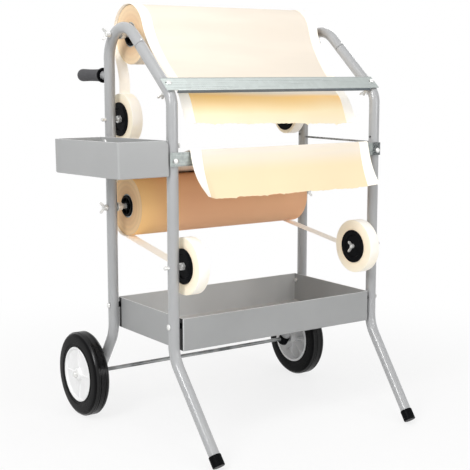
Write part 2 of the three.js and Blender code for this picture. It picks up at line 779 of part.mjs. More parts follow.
// A clamp bolt: head on the bar, shank through bar and tube, wing nut behind the tube
function clampBolt(name, side, line, place, backward, across) {
  const headStart = tubeRadius + barSheet + seatGap * 2;
  const nutStart = tubeRadius + seatGap;
  const body = joined([
    line(side, headStart + clampHeadHeight, -(nutStart + clampBoltTail), clampBoltRadius),
    line(side, headStart, headStart + clampHeadHeight, clampHeadRadius),
    wingNut(place(-nutStart), backward, across),
  ]);
  return piece(`${name}_${sideName(side)}`, body, steel);
}

function upperClampBolt(side) {
  const place = (lift) => atSide(side, slantPoint(upperBoltAlong, lift));
  return clampBolt('upper_bar_bolt', side, upperBoltLine, place, slantNormal.clone().negate(), xAxis);
}

function lowerClampBolt(side) {
  const line = (which, from, to, radius) => lowerBoltLine(which, -from, -to, radius);
  const place = (lift) => vector(side * halfSpacing, -lift, lowerBoltHeight);
  return clampBolt('lower_bar_bolt', side, line, place, yAxis, zAxis);
}

function sideRod(side) {
  const x = side * halfSpacing;
  const inset = tubeRadius - sideRodSocket + seatGap;
  const ends = [inset, frameDepth - inset].map((y) => vector(x, y, sideRodHeight));
  const bar = rod(sideRodRadius, ...ends, boltSides);
  return piece(`side_rod_${sideName(side)}`, bar, steel);
}

// Paper rolls turn on stub spindles with wing knobs outside the frame
function paperRoll(level) {
  const { y, z, radius } = rolls[level];
  const colour = level === 'upper' ? creamPaper : kraftPaper;
  const bore = coreOuter + seatGap;
  const ring = ringAcross(bore, radius, 1, -halfPaper, halfPaper, y, z, rollSides);
  return piece(`paper_roll_${level}`, ring, colour);
}

function paperCore(level) {
  const { y, z } = rolls[level];
  const half = halfPaper - coreRecess;
  const ring = ringAcross(coreInner, coreOuter, 1, -half, half, y, z, hubSides);
  return piece(`paper_core_${level}`, ring, coreBoard);
}

function rollPlug(level, side) {
  const { y, z } = rolls[level];
  const face = halfPaper - coreRecess + seatGap;
  const bore = runningBore(spindleRadius);
  const body = coreInner - seatGap;
  const lipEdge = coreInner + (coreOuter - coreInner) / 2;
  const profile = [
    [face - plugLength, bore], [face - plugLength, body - plugLip], [face - plugLength + plugLip, body],
    [face, body], [face, lipEdge], [face + plugLip, lipEdge - plugLip / 2], [face + plugLip, bore],
    [face - plugLength, bore],
  ].map(([along, radius]) => [side * along, radius]);
  const plug = turned(profile, xAxis, vector(0, y, z), hubSides);
  return piece(`roll_plug_${level}_${sideName(side)}`, plug, blackPlastic);
}

function rollSpindle(level, side) {
  const { y, z } = rolls[level];
  const tip = halfPaper - spindleInside;
  const collarEnd = tubeFace - seatGap;
  const knobStart = tubeOutside + seatGap;
  const knobEnd = knobStart + knobLength;
  const body = joined([
    rodAcross(spindleRadius, side, tip, knobStart + knobLength / 2, y, z),
    rodAcross(collarRadius, side, collarEnd - collarLength, collarEnd, y, z),
    rodAcross(knobRadius, side, knobStart, knobEnd, y, z),
    nutWings(vector(side * (knobEnd - wingDip), y, z), vector(side, 0, 0), zAxis),
  ]);
  return piece(`roll_spindle_${level}_${sideName(side)}`, body, steel);
}

// Tape rolls sit on dished hubs that turn on bolts through the uprights
function tapeRoll(level, side) {
  const { y, z } = tapes[level];
  const radius = tapeRadii[level](side);
  const ring = ringAcross(tapeBore, radius, side, tapeInnerFace(side), tapeOuterFace(side), y, z, rollSides);
  return piece(`tape_roll_${level}_${sideName(side)}`, ring, tapePaper);
}

function tapeHub(level, side) {
  const { y, z } = tapes[level];
  const inner = tapeInnerFace(side) - seatGap;
  const outer = tapeOuterFace(side) + seatGap;
  const body = tapeBore - seatGap;
  const bore = runningBore(tapeSpindleRadius);
  const flange = (face, outward) => [
    [face + outward * (tapeFlangeThickness - tapeHubRecess), tapeRecessRadius],
    [face + outward * tapeFlangeThickness, tapeRecessRadius],
    [face + outward * tapeFlangeThickness, tapeFlangeRadius], [face, tapeFlangeRadius], [face, body],
  ];
  const innerFloor = inner - tapeFlangeThickness + tapeHubRecess;
  const outerFloor = outer + tapeFlangeThickness - tapeHubRecess;
  const profile = [
    [innerFloor, bore], ...flange(inner, -1), ...flange(outer, 1).reverse(), [outerFloor, bore],
    [innerFloor, bore],
  ].map(([along, radius]) => [side * along, radius]);
  const hub = turned(profile, xAxis, vector(0, y, z), flangeSides);
  return piece(`tape_hub_${level}_${sideName(side)}`, hub, blackPlastic);
}

function tapeSpindle(level, side) {
  const { y, z } = tapes[level];
  const outerNut = tapeOuterFace(side) + tapeFlangeThickness - tapeHubRecess + seatGap * 2;
  const innerNut = tapeInnerFace(side) - tapeFlangeThickness + tapeHubRecess - seatGap * 2;
  const tip = innerNut - wingBossLength - seatGap;
  const body = joined([
    rodAcross(tapeSpindleRadius, side, tip, tubeOutside + tapeSpindleTail, y, z),
    wingNut(vector(side * innerNut, y, z), vector(-side, 0, 0), zAxis),
    rodAcross(tapeNutRadius, side, outerNut, outerNut + tapeNutLength, y, z, nutSides),
  ]);
  return piece(`tape_spindle_${level}_${sideName(side)}`, body, steel);
}

// Paper and tape paths in Y and Z: each row has a place and the direction away from the roll
const rowAt = (y, z, headingY, headingZ) => {
  const length = Math.hypot(headingY, headingZ);
  return { y, z, outY: headingZ / length, outZ: -headingY / length };
};

function wrapRows(roll, radius, from, to) {
  const steps = Math.ceil((to - from) / wrapStep);
  return Array.from({ length: steps + 1 }, (_, i) => {
    const angle = from + ((to - from) * i) / steps;
    return rowAt(roll.y + radius * Math.cos(angle), roll.z + radius * Math.sin(angle),
      -Math.sin(angle), Math.cos(angle));
  });
}

function curveRows(start, startPull, endPull, end, steps) {
  const curve = new THREE.CubicBezierCurve(
    new THREE.Vector2(start.y, start.z), new THREE.Vector2(startPull.y, startPull.z),
    new THREE.Vector2(endPull.y, endPull.z), new THREE.Vector2(end.y, end.z),
  );
  return Array.from({ length: steps }, (_, i) => {
    const share = (i + 1) / steps;
    const place = curve.getPoint(share);
    const heading = curve.getTangent(share);
    return rowAt(place.x, place.y, heading.x, heading.y);
  });
}

const onward = (row, distance, angle) => ({
  y: row.y + distance * Math.cos(angle), z: row.z + distance * Math.sin(angle),
});
const wrapRadius = (roll) => roll.radius + wrapGap + paperSheet / 2;
const stripLift = paperSheet / 2 + seatGap + stripSheet / 2;

// The upper sheet leaves the roll at the front, passes under the upper bar and hangs behind it
function upperSheetRows() {
  const roll = rolls.upper;
  const wrapped = wrapRows(roll, wrapRadius(roll), upperWrapStart, upperWrapEnd);
  const leave = wrapped[wrapped.length - 1];
  const leaveAngle = upperWrapEnd + Math.PI / 2;
  const end = { y: upperGuide.y - upperHangForward, z: upperGuide.z - upperHangDepth };
  const hangAngle = Math.atan2(-upperHangDepth, -upperHangForward);
  const run = curveRows(leave, onward(leave, upperRunPull, leaveAngle),
    onward(upperGuide, -upperGuidePull, upperGuideSlope), upperGuide, drapeSteps);
  const hang = curveRows(upperGuide, onward(upperGuide, upperHangDepth / 3, upperGuideSlope),
    onward(end, -upperHangDepth / 3, hangAngle), end, drapeSteps);
  return { rows: [...wrapped, ...run, ...hang], freeFrom: wrapped.length + run.length };
}

// The lower sheet leaves the roll at the top, rises to the lower bar, turns over it and hangs in front
function lowerSheetRows() {
  const roll = rolls.lower;
  const radius = wrapRadius(roll);
  const crestRadius = barSheet + lowerCrestGap + paperSheet;
  const barMiddle = -(tubeRadius + seatGap + barSheet / 2);
  const crest = { y: barMiddle, z: lowerBarTop };
  const across = { y: crest.y - roll.y, z: crest.z - roll.z };
  const distance = Math.hypot(across.y, across.z);
  const leaveAngle = Math.atan2(across.z, across.y) - Math.acos((radius - crestRadius) / distance);
  const wrapped = wrapRows(roll, radius, lowerWrapStart, leaveAngle);
  const crestRows = wrapRows(crest, crestRadius, leaveAngle, Math.PI - lowerHangSlope);
  const top = crestRows[crestRows.length - 1];
  const end = { y: top.y - lowerHangForward, z: top.z - lowerHangDepth };
  const endPull = { y: end.y + lowerHangForward / 2, z: end.z + lowerHangDepth / 3 };
  const topPull = onward(top, lowerHangPull, -Math.PI / 2 - lowerHangSlope);
  const hang = curveRows(top, topPull, endPull, end, drapeSteps);
  return { rows: [...wrapped, ...crestRows, ...hang], freeFrom: wrapped.length + crestRows.length };
}

const sheets = {
  upper: { ...upperSheetRows(), leftCurl: upperLeftCurl, rightCurl: upperRightCurl, skew: upperSkew },
  lower: { ...lowerSheetRows(), leftCurl: lowerLeftCurl, rightCurl: lowerRightCurl, skew: 0 },
};

// How far a place on the free end stands off the path: curled corners and a slight skew
function sheetLift(sheet, rowIndex, x) {
  const hang = Math.max(0, rowIndex - sheet.freeFrom + 1) / (sheet.rows.length - sheet.freeFrom);
  const settle = Math.min(1, Math.max(0, rowIndex - sheet.freeFrom + 1 + drapeSteps) / drapeSteps);
  const curl = x < 0 ? sheet.leftCurl : sheet.rightCurl;
  const edge = Math.max(0, Math.abs(x) - (halfPaper + stripOverhang - curlWidth)) / curlWidth;
  return curl * hang ** 2 * edge ** 2 - (sheet.skew * settle * x) / halfPaper;
}

// A thin closed sheet over a grid of rows and columns
function thinSheet(rows, columns, thickness, place) {
  const corners = [];
  const faces = [];
  const width = columns + 1;
  const at = (layer, row, column) => (layer * rows + row) * width + column;
  for (const layer of [0, 1]) {
    for (let row = 0; row < rows; row++) {
      for (let column = 0; column <= columns; column++) {
        corners.push(...place(row, column, (layer - 0.5) * thickness));
      }
    }
  }
  const quad = (a, b, c, d) => faces.push(a, b, c, a, c, d);
  for (let row = 0; row + 1 < rows; row++) {
    for (let column = 0; column < columns; column++) {
      quad(at(0, row, column), at(0, row, column + 1), at(0, row + 1, column + 1), at(0, row + 1, column));
      quad(at(1, row, column), at(1, row + 1, column), at(1, row + 1, column + 1), at(1, row, column + 1));
    }
    quad(at(0, row, 0), at(0, row + 1, 0), at(1, row + 1, 0), at(1, row, 0));
    quad(at(0, row, columns), at(1, row, columns), at(1, row + 1, columns), at(0, row + 1, columns));
  }
  for (let column = 0; column < columns; column++) {
    quad(at(0, 0, column), at(1, 0, column), at(1, 0, column + 1), at(0, 0, column + 1));
    const end = rows - 1;
    quad(at(0, end, column), at(0, end, column + 1), at(1, end, column + 1), at(1, end, column));
  }
  const geometry = new THREE.BufferGeometry();
  geometry.setAttribute('position', new THREE.Float32BufferAttribute(corners, 3));
  geometry.setIndex(faces);
  return solid(geometry);
}

// The sheet and the strips on it share their columns, so that they curl alike
const stripInnerEdge = halfPaper + stripOverhang - tapeWidth;
const middleShares = [-0.7, 0, 0.7];
const sheetColumns = [
  -halfPaper, -stripInnerEdge, ...middleShares.map((share) => share * stripInnerEdge),
  stripInnerEdge, halfPaper,
];
const stripColumns = [stripInnerEdge, halfPaper, halfPaper + stripOverhang];

function paperSheetPiece(level) {
  const sheet = sheets[level];
  const columnCount = sheetColumns.length - 1;
  const body = thinSheet(sheet.rows.length, columnCount, paperSheet, (rowIndex, column, offset) => {
    const row = sheet.rows[rowIndex];
    const x = sheetColumns[column];
    const lift = sheetLift(sheet, rowIndex, x) + offset;
    return [x, row.y + row.outY * lift, row.z + row.outZ * lift];
  });
  return piece(`paper_sheet_${level}`, body, creamPaper);
}

// Web of a tape strip from its roll to the paper roll, before it lies on the sheet's edge
function upperWebRows(side, first) {
  const { y, z } = tapes.upper;
  const start = { y, z: z + tapeRadii.upper(side) + peelGap };
  const end = { y: first.y + first.outY * stripLift, z: first.z + first.outZ * stripLift };
  return [rowAt(start.y, start.z, 0, 1), ...curveRows(start, onward(start, upperWebPull, Math.PI / 2),
    onward(end, -upperWebPull, upperWrapStart + Math.PI / 2), end, drapeSteps).slice(0, -1)];
}

function lowerWebRows(side, first) {
  const { y, z } = tapes.lower;
  const start = { y: y + tapeRadii.lower(side) + peelGap, z };
  const end = { y: first.y + first.outY * stripLift, z: first.z + first.outZ * stripLift };
  const pull = (end.y - start.y) / 3;
  return [rowAt(start.y, start.z, Math.cos(lowerWebSlope), Math.sin(lowerWebSlope)),
    ...curveRows(start, onward(start, pull, lowerWebSlope), onward(end, -pull, lowerWebSlope), end,
      drapeSteps).slice(0, -1)];
}

function tapeStrip(level, side) {
  const sheet = sheets[level];
  const web = (level === 'upper' ? upperWebRows : lowerWebRows)(side, sheet.rows[0]);
  const columns = side < 0 ? stripColumns.map((x) => -x).reverse() : stripColumns;
  const sideStep = side * (tapeInnerFace(side) - stripInnerEdge);
  const rowCount = web.length + sheet.rows.length;
  const body = thinSheet(rowCount, columns.length - 1, stripSheet, (rowIndex, column, offset) => {
    const onWeb = rowIndex < web.length;
    const row = onWeb ? web[rowIndex] : sheet.rows[rowIndex - web.length];
    const x = columns[column] + (onWeb ? sideStep * (1 - rowIndex / web.length) : 0);
    const lift = onWeb ? offset : sheetLift(sheet, rowIndex - web.length, x) + stripLift + offset;
    return [x, row.y + row.outY * lift, row.z + row.outZ * lift];
  });
  return piece(`tape_strip_${level}_${sideName(side)}`, body, tapePaper);
}

// The whole trolley, stood on the floor with its box centred on the origin
function dispenser() {
  const trolley = new THREE.Group();
  for (const side of [-1, 1]) {
    const name = sideName(side);
    trolley.add(
      piece(`front_leg_${name}`, frontLeg(side), framePaint),
      piece(`rear_hoop_${name}`, rearHoop(side), framePaint),
      footCap(side),
      axleCap(side),
      handleGrip(side),
      wheelTyre(side),
      wheelRim(side),
      axleNut(side),
      upperClampBolt(side),
      lowerClampBolt(side),
      sideRod(side),
    );
  }
  trolley.add(axle(), lowerTray(), sideTray(), upperCutterBar(), lowerCutterBar());
  for (const level of ['upper', 'lower']) {
    trolley.add(paperRoll(level), paperCore(level), paperSheetPiece(level));
    for (const side of [-1, 1]) {
      trolley.add(
        rollPlug(level, side), rollSpindle(level, side), tapeRoll(level, side),
        tapeHub(level, side), tapeSpindle(level, side), tapeStrip(level, side),
      );
    }
  }
  const extent = new THREE.Box3().setFromObject(trolley, true);
  const centre = extent.getCenter(vector());
  trolley.position.set(-centre.x, -centre.y, -extent.min.z);
  return new THREE.Group().add(trolley);
}

export default dispenser();
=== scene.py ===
import math
import random

import bmesh
import bpy
from bpy.props import FloatProperty, FloatVectorProperty, IntProperty, PointerProperty
from mathutils import Matrix, Vector


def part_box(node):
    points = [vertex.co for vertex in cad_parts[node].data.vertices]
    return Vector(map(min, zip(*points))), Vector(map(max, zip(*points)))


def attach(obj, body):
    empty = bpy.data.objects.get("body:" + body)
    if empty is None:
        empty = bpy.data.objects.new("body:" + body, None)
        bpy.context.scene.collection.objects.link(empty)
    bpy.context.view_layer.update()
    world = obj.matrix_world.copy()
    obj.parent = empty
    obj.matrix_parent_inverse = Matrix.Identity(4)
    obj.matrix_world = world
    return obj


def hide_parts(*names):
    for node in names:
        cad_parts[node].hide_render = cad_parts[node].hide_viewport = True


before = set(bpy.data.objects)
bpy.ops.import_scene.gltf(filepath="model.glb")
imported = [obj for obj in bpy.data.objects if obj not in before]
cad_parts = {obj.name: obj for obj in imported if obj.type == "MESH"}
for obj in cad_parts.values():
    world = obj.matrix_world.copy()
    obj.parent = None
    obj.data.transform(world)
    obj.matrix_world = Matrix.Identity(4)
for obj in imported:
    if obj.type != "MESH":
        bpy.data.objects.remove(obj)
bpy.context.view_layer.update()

bl_info = {
    "name": "Masking Paper Dispenser",
    "version": (1, 0, 0),
    "blender": (4, 5, 0),
    "location": "3D View > Sidebar > Dispenser",
    "description": "Dresses the frame of a masking paper dispenser with its finished pieces",
    "category": "Add Mesh",
}

SIDES = {"left": -1, "right": 1}
LEVELS = ("upper", "lower")


def middle_of(node):
    low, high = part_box(node)
    return (low + high) / 2


def size_of(node):
    low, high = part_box(node)
    return high - low


# Places that every piece is measured from
MIDDLE_X = middle_of("axle").x
FRONT_Y = middle_of("tape_roll_lower_left").y
FRAME_DEPTH = middle_of("paper_roll_lower").y - FRONT_Y
HALF_SPACING = (middle_of("side_rod_right").x - middle_of("side_rod_left").x) / 2
ACROSS = Vector((1, 0, 0))
BACKWARD = Vector((0, 1, 0))
UP = Vector((0, 0, 1))

# Sizes that several pieces share
SEAT = 0.0003
BOLT_RADIUS = 0.004
NUT_RADIUS = 0.0072
NUT_HEIGHT = 0.005
HEAD_RADIUS = 0.0082
CAP_RADIUS = 0.0173
CAP_FLOOR = 0.0053
CAP_BEFORE_AXLE = 0.016
LOWER_BAR_BOLT_DROP = 0.023
UPPER_BAR_BOLT_REACH = 0.034
UPPER_BAR_TOP = 0.054
HUB_DISH = 0.004


def at(x, y, z):
    """A place measured from the middle of the stand, the front uprights and the floor."""
    return Vector((MIDDLE_X + x, FRONT_Y + y, z))


def shade(red, green, blue):
    """A colour read as 0 to 255 on a screen, turned to the values that shaders take."""
    shares = [value / 255 for value in (red, green, blue)]
    return tuple(s / 12.92 if s <= 0.04045 else ((s + 0.055) / 1.055) ** 2.4 for s in shares)


def length(name, description, default):
    return FloatProperty(name=name, description=description, default=default, min=0, subtype="DISTANCE",
                         unit="LENGTH")


def angle(name, description, degrees):
    return FloatProperty(name=name, description=description, default=math.radians(degrees), subtype="ANGLE")


def number(name, description, default, low, high):
    return IntProperty(name=name, description=description, default=default, min=low, max=high)


def colour(name, description, value):
    return FloatVectorProperty(name=name, description=description, default=shade(*value), size=3, min=0,
                               max=1, subtype="COLOR")


# ---------------------------------------------------------------------------- settings

class DISPENSER_PG_tubes(bpy.types.PropertyGroup):
    radius: length("Tube radius", "Outer radius of the bent tubes", 0.0155)
    lower_bend: length("Lower bend height", "Height where the legs turn out of the uprights", 0.262)
    shoulder: length("Shoulder height", "Height where the front uprights turn into the slant", 0.9555)
    slant: angle("Slant", "Rise of the slanted tubes", 40)
    leg_lean: angle("Leg lean", "How far the front legs lean forward", 38)
    toe_in: angle("Toe-in", "How far the front legs turn towards each other", 3.8)
    leg_bend: length("Leg bend", "Bend radius above both legs", 0.1)
    shoulder_bend: length("Shoulder bend", "Bend radius at the shoulder", 0.06)
    hoop_bend: length("Hoop bend", "Bend radius at the top of the rear hoop", 0.086)
    seam: length("Seam", "Distance from the end of the hoop's bend to the sleeve seam", 0.0492)
    handle_drop: length("Handle drop", "Push handles below the centre of the hoop's bend", 0.0445)
    handle_radius: length("Handle radius", "Radius of the push handles' tube", 0.0125)
    sides: number("Sides", "Faces round a tube", 40, 12, 96)


class DISPENSER_PG_wheels(bpy.types.PropertyGroup):
    rim_ribs: number("Rim ribs", "Ribs on the outer face of a rim", 4, 3, 12)
    inner_ribs: number("Inner ribs", "Deep ribs on the inner face of a rim", 8, 3, 16)
    tread_ribs: number("Tread lines", "Fine raised lines round the tread", 6, 2, 12)
    cap_ribs: number("Cap ribs", "Ribs round each tube cap", 18, 6, 36)


class DISPENSER_PG_trays(bpy.types.PropertyGroup):
    sheet: length("Sheet", "Thickness of the trays' sheet", 0.002)
    corner: length("Corner", "Radius of the trays' corners", 0.006)
    side_depth: length("Side tray depth", "Height of the side tray's walls", 0.094)
    side_drop: length("Side tray drop", "Side tray's upper edge below the shoulder", 0.1125)
    side_stud_drop: length("Side bolt drop", "Side tray's bolts below its upper edge", 0.015)
    side_front: length("Side tray front", "How far the side tray reaches before the front uprights", 0.012)
    side_back: length("Side tray back", "How far the side tray reaches behind the rear uprights", 0.016)
    side_tilt: angle("Side tray tilt", "How far the side tray hangs down at its back", 1.3)


class DISPENSER_PG_sheets(bpy.types.PropertyGroup):
    paper: length("Paper thickness", "Thickness of the drawn sheets", 0.00035)
    tape: length("Tape thickness", "Thickness of the tape strips", 0.00025)
    ripple: length("Ripple", "Height of the soft waves in the free paper", 0.0012)
    tear: length("Torn edge", "Depth of the small teeth along a torn edge", 0.0011)


class DISPENSER_PG_colours(bpy.types.PropertyGroup):
    frame_paint: colour("Frame paint", "Glossy paint on the tubes", (168, 169, 170))
    tray_paint: colour("Tray paint", "Satin paint on the trays", (170, 171, 171))
    zinc: colour("Zinc plate", "Cutter bars", (212, 220, 217))
    steel: colour("Steel", "Bolts, nuts and spindles", (232, 232, 230))
    black: colour("Black plastic", "Caps, plugs and hubs", (16, 17, 19))
    grip: colour("Grip", "Push handle grips", (80, 80, 82))
    tyre: colour("Tyre", "Rubber of the tyres", (14, 14, 15))
    rim: colour("Rim", "Moulded wheel rims", (245, 245, 245))
    cream: colour("Cream paper", "Upper roll and both sheets", (244, 233, 218))
    # Painted shade: the lower roll is the same cream paper as its sheet, given a darker, warmer tone for the
    # shade it lies in.
    kraft: colour("Kraft paper", "Lower roll", (255, 194, 150))
    core: colour("Core board", "Cores of the paper rolls", (38, 150, 186))
    tape: colour("Tape", "Tape rolls", (255, 252, 246))


GROUPS = {
    "tubes": DISPENSER_PG_tubes,
    "wheels": DISPENSER_PG_wheels,
    "trays": DISPENSER_PG_trays,
    "sheets": DISPENSER_PG_sheets,
    "colours": DISPENSER_PG_colours,
}


def chosen(group):
    """The scene's settings of one group."""
    return getattr(bpy.context.scene, "dispenser_" + group)


# ---------------------------------------------------------------------------- nodes

def feed(tree, socket, value):
    """Links a socket to the output that feeds it, or gives it a value."""
    if isinstance(value, bpy.types.NodeSocket):
        tree.links.new(value, socket)
    elif socket.type == "RGBA":
        socket.default_value = (*value[:3], 1)
    else:
        socket.default_value = value


def add_node(tree, kind, inputs=(), **settings):
    """A node with its settings, and its inputs by number, name or identifier."""
    made = tree.nodes.new(kind)
    for key, value in settings.items():
        setattr(made, key, value)
    for key, value in dict(inputs).items():
        named = (socket for socket in made.inputs if key in (socket.identifier, socket.name))
        feed(tree, made.inputs[key] if isinstance(key, int) else next(named), value)
    return made


def new_tree(name, inputs):
    """A geometry tree with its input and output, and what its input node gives."""
    tree = bpy.data.node_groups.new(name, "GeometryNodeTree")
    for label, kind in {"Geometry": "Geometry", **inputs, "Material": "Material"}.items():
        tree.interface.new_socket(label, in_out="INPUT", socket_type="NodeSocket" + kind)
    tree.interface.new_socket("Geometry", in_out="OUTPUT", socket_type="NodeSocketGeometry")
    return tree, tree.nodes.new("NodeGroupInput").outputs


def finish_tree(tree, geometry, material):
    """Ends a tree in Realize Instances and Set Material."""
    real = add_node(tree, "GeometryNodeRealizeInstances", {"Geometry": geometry})
    paint = add_node(tree, "GeometryNodeSetMaterial", {"Geometry": real.outputs[0], "Material": material})
    add_node(tree, "NodeGroupOutput", {"Geometry": paint.outputs[0]})
    return tree


def tube_tree(name):
    """A round tube along the input's edges."""
    tree, given = new_tree(name, {"Radius": "Float", "Sides": "Int"})
    path = add_node(tree, "GeometryNodeMeshToCurve", {"Mesh": given["Geometry"]})
    ring = add_node(tree, "GeometryNodeCurvePrimitiveCircle",
                    {"Resolution": given["Sides"], "Radius": given["Radius"]})
    tube = add_node(tree, "GeometryNodeCurveToMesh",
                    {"Curve": path.outputs[0], "Profile Curve": ring.outputs[0], "Fill Caps": True})
    return finish_tree(tree, tube.outputs[0], given["Material"])


def ring_tree(name):
    """Copies of the input, turned evenly about an axis through a centre."""
    tree, given = new_tree(name, {"Count": "Int", "Centre": "Vector", "Axis": "Vector"})
    opposite = add_node(tree, "ShaderNodeVectorMath", {0: given["Centre"], "Scale": -1}, operation="SCALE")
    inward = add_node(tree, "GeometryNodeTransform",
                      {"Geometry": given["Geometry"], "Translation": opposite.outputs["Vector"]})
    points = add_node(tree, "GeometryNodeMeshLine", {"Count": given["Count"], "Offset": (0, 0, 0)})
    step = add_node(tree, "ShaderNodeMath", {0: math.tau, 1: given["Count"]}, operation="DIVIDE")
    index = add_node(tree, "GeometryNodeInputIndex")
    turn = add_node(tree, "ShaderNodeMath", {0: index.outputs[0], 1: step.outputs[0]}, operation="MULTIPLY")
    rotation = add_node(tree, "FunctionNodeAxisAngleToRotation",
                        {"Axis": given["Axis"], "Angle": turn.outputs[0]})
    spread = add_node(tree, "GeometryNodeInstanceOnPoints", {
        "Points": points.outputs[0], "Instance": inward.outputs[0], "Rotation": rotation.outputs[0]})
    outward = add_node(tree, "GeometryNodeTransform",
                       {"Geometry": spread.outputs[0], "Translation": given["Centre"]})
    return finish_tree(tree, outward.outputs[0], given["Material"])


TREES = {"Tube along a path": tube_tree, "Ring of copies": ring_tree}


def grown(obj, tree_name, **values):
    """Runs a geometry tree on obj and keeps its result as plain mesh."""
    tree = bpy.data.node_groups.get(tree_name) or TREES[tree_name](tree_name)
    modifier = obj.modifiers.new(tree_name, "NODES")
    modifier.node_group = tree
    for socket in tree.interface.items_tree:
        if socket.in_out == "INPUT" and socket.name in values:
            modifier[socket.identifier] = values[socket.name]
    return baked(obj)


def baked(obj):
    """Replaces the mesh of obj by what its modifiers make of it, and removes them."""
    bpy.context.view_layer.update()
    graph = bpy.context.evaluated_depsgraph_get()
    mesh = bpy.data.meshes.new_from_object(obj.evaluated_get(graph), depsgraph=graph)
    obj.modifiers.clear()
    old = obj.data
    obj.data = mesh
    bpy.data.meshes.remove(old)
    return obj


# ---------------------------------------------------------------------------- mesh helpers

def linked(mesh):
    obj = bpy.data.objects.new(mesh.name, mesh)
    bpy.context.scene.collection.objects.link(obj)
    return obj


def from_bmesh(bm, finish=None):
    """A mesh object whose faces all point outwards."""
    bmesh.ops.recalc_face_normals(bm, faces=bm.faces)
    mesh = bpy.data.meshes.new("part")
    bm.to_mesh(mesh)
    bm.free()
    if finish:
        mesh.materials.append(slot_finish(finish))
    return linked(mesh)


def smoothed(obj, degrees=38):
    """Smooth shading, kept sharp at edges that turn by more than the angle."""
    obj.data.shade_smooth()
    obj.data.set_sharp_from_angle(angle=math.radians(degrees))
    return obj


def evened(obj):
    """Large faces keep their own shading beside small rounded edges."""
    smoothed(obj)
    modifier = obj.modifiers.new("Even shading", "WEIGHTED_NORMAL")
    modifier.keep_sharp = True
    return baked(obj)


def joined(*parts):
    """One object from several."""
    first, every = parts[0], list(parts)
    with bpy.context.temp_override(active_object=first, object=first, selected_objects=every,
                                   selected_editable_objects=every):
        bpy.ops.object.join()
    return first


def refaced(obj, material, wanted):
    """Gives another material to the faces for which wanted is true."""
    obj.data.materials.append(material)
    for face in obj.data.polygons:
        if wanted(face):
            face.material_index = len(obj.data.materials) - 1
    return obj


def finished(node, suffix, body, slot, *parts):
    """One named piece from its parts, with its body and the node that it stands for. The slot argument is not
    used.
    """
    piece = joined(*parts) if len(parts) > 1 else parts[0]
    piece.name = node + "_" + suffix
    piece.data.name = piece.name
    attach(piece, body)
    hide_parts(node)
    return piece


def placed(origin, x, y):
    """A frame at origin with the given X and Y directions."""
    return Matrix.Translation(origin) @ Matrix((x, y, x.cross(y))).transposed().to_4x4()


def axis_frame(origin, direction, across=None):
    """A frame at origin whose Z runs along direction."""
    z = Vector(direction).normalized()
    x = Vector(across) if across is not None else z.orthogonal()
    x = (x - z * x.dot(z)).normalized()
    return Matrix.Translation(origin) @ Matrix((x, z.cross(x), z)).transposed().to_4x4()


def eased(profile, amount, closed=True):
    """Rounds each corner of an outline by up to amount."""
    points = [Vector(point) for point in profile]
    count = len(points)
    result = []
    for i, corner in enumerate(points):
        ends = not closed and i in (0, count - 1)
        before = points[i - 1] - corner
        after = points[(i + 1) % count] - corner
        if ends or before.length < 1e-9 or after.length < 1e-9:
            result.append(corner)
            continue
        reach = min(amount, before.length * 0.45, after.length * 0.45)
        first = corner + before.normalized() * reach
        last = corner + after.normalized() * reach
        for share in (0, 1 / 3, 2 / 3, 1):
            result.append(first.lerp(corner, share).lerp(corner.lerp(last, share), share))
    return result


def both_ways(profile):
    """An outline of (along, radius) pairs followed by its mirror image."""
    return profile + [(-along, radius) for along, radius in reversed(profile)]


def add_turned(bm, profile, frame_matrix, sides):
    """An outline of (along, radius) pairs turned about the frame's Z; it closes on itself or on the axis."""
    turns = [math.tau * i / sides for i in range(sides)]
    rings = []
    for along, radius in profile:
        places = [(radius * math.cos(t), radius * math.sin(t), along) for t in turns] if radius > 1e-7 else [
            (0, 0, along)]
        rings.append([bm.verts.new(frame_matrix @ Vector(place)) for place in places])
    pairs = list(zip(rings, rings[1:]))
    if len(rings[0]) > 1 and len(rings[-1]) > 1:
        pairs.append((rings[-1], rings[0]))
    for a, b in pairs:
        for i in range(sides):
            j = (i + 1) % sides
            ring = [a[i % len(a)], a[j % len(a)], b[j % len(b)], b[i % len(b)]]
            corners = list(dict.fromkeys(ring))
            if len(corners) > 2:
                bm.faces.new(corners)
    return bm


def turned(profile, frame_matrix, sides, finish):
    return from_bmesh(add_turned(bmesh.new(), profile, frame_matrix, sides), finish)


def add_strip(bm, rings, closed=True):
    """Faces between each ring of points and the next."""
    for a, b in zip(rings, rings[1:]):
        for i in range(len(a) if closed else len(a) - 1):
            j = (i + 1) % len(a)
            bm.faces.new((a[i], a[j], b[j], b[i]))


def add_plate(bm, outline, thickness, frame_matrix, bevel=0):
    """An outline in the frame's X and Y, given thickness along Z about the frame's plane."""
    part = bmesh.new()
    low, high = ([part.verts.new((x, y, z)) for x, y in outline] for z in (-thickness / 2, thickness / 2))
    part.faces.new(list(reversed(low)))
    part.faces.new(high)
    add_strip(part, [low, high])
    if bevel:
        rims = [e for e in part.edges if abs(e.verts[0].co.z - e.verts[1].co.z) < 1e-9]
        bmesh.ops.bevel(part, geom=rims, offset=bevel, segments=2, profile=0.5, affect="EDGES")
    part.transform(frame_matrix)
    mesh = bpy.data.meshes.new("plate")
    part.to_mesh(mesh)
    part.free()
    bm.from_mesh(mesh)
    bpy.data.meshes.remove(mesh)
    return bm


def add_rod(bm, radius, start, end, sides=24, ease=0.0006):
    """A round bar between two places with eased ends."""
    span = Vector(end) - Vector(start)
    profile = [(0, 0), (0, radius), (span.length, radius), (span.length, 0)]
    return add_turned(bm, eased(profile, ease, closed=False), axis_frame(start, span), sides)


def add_nut(bm, radius, start, direction, thickness):
    """A hexagon nut that rises from start."""
    hexagon = [(radius * math.cos(math.tau * i / 6), radius * math.sin(math.tau * i / 6)) for i in range(6)]
    frame_matrix = axis_frame(start + direction * thickness / 2, direction)
    return add_plate(bm, hexagon, thickness, frame_matrix, bevel=0.0005)


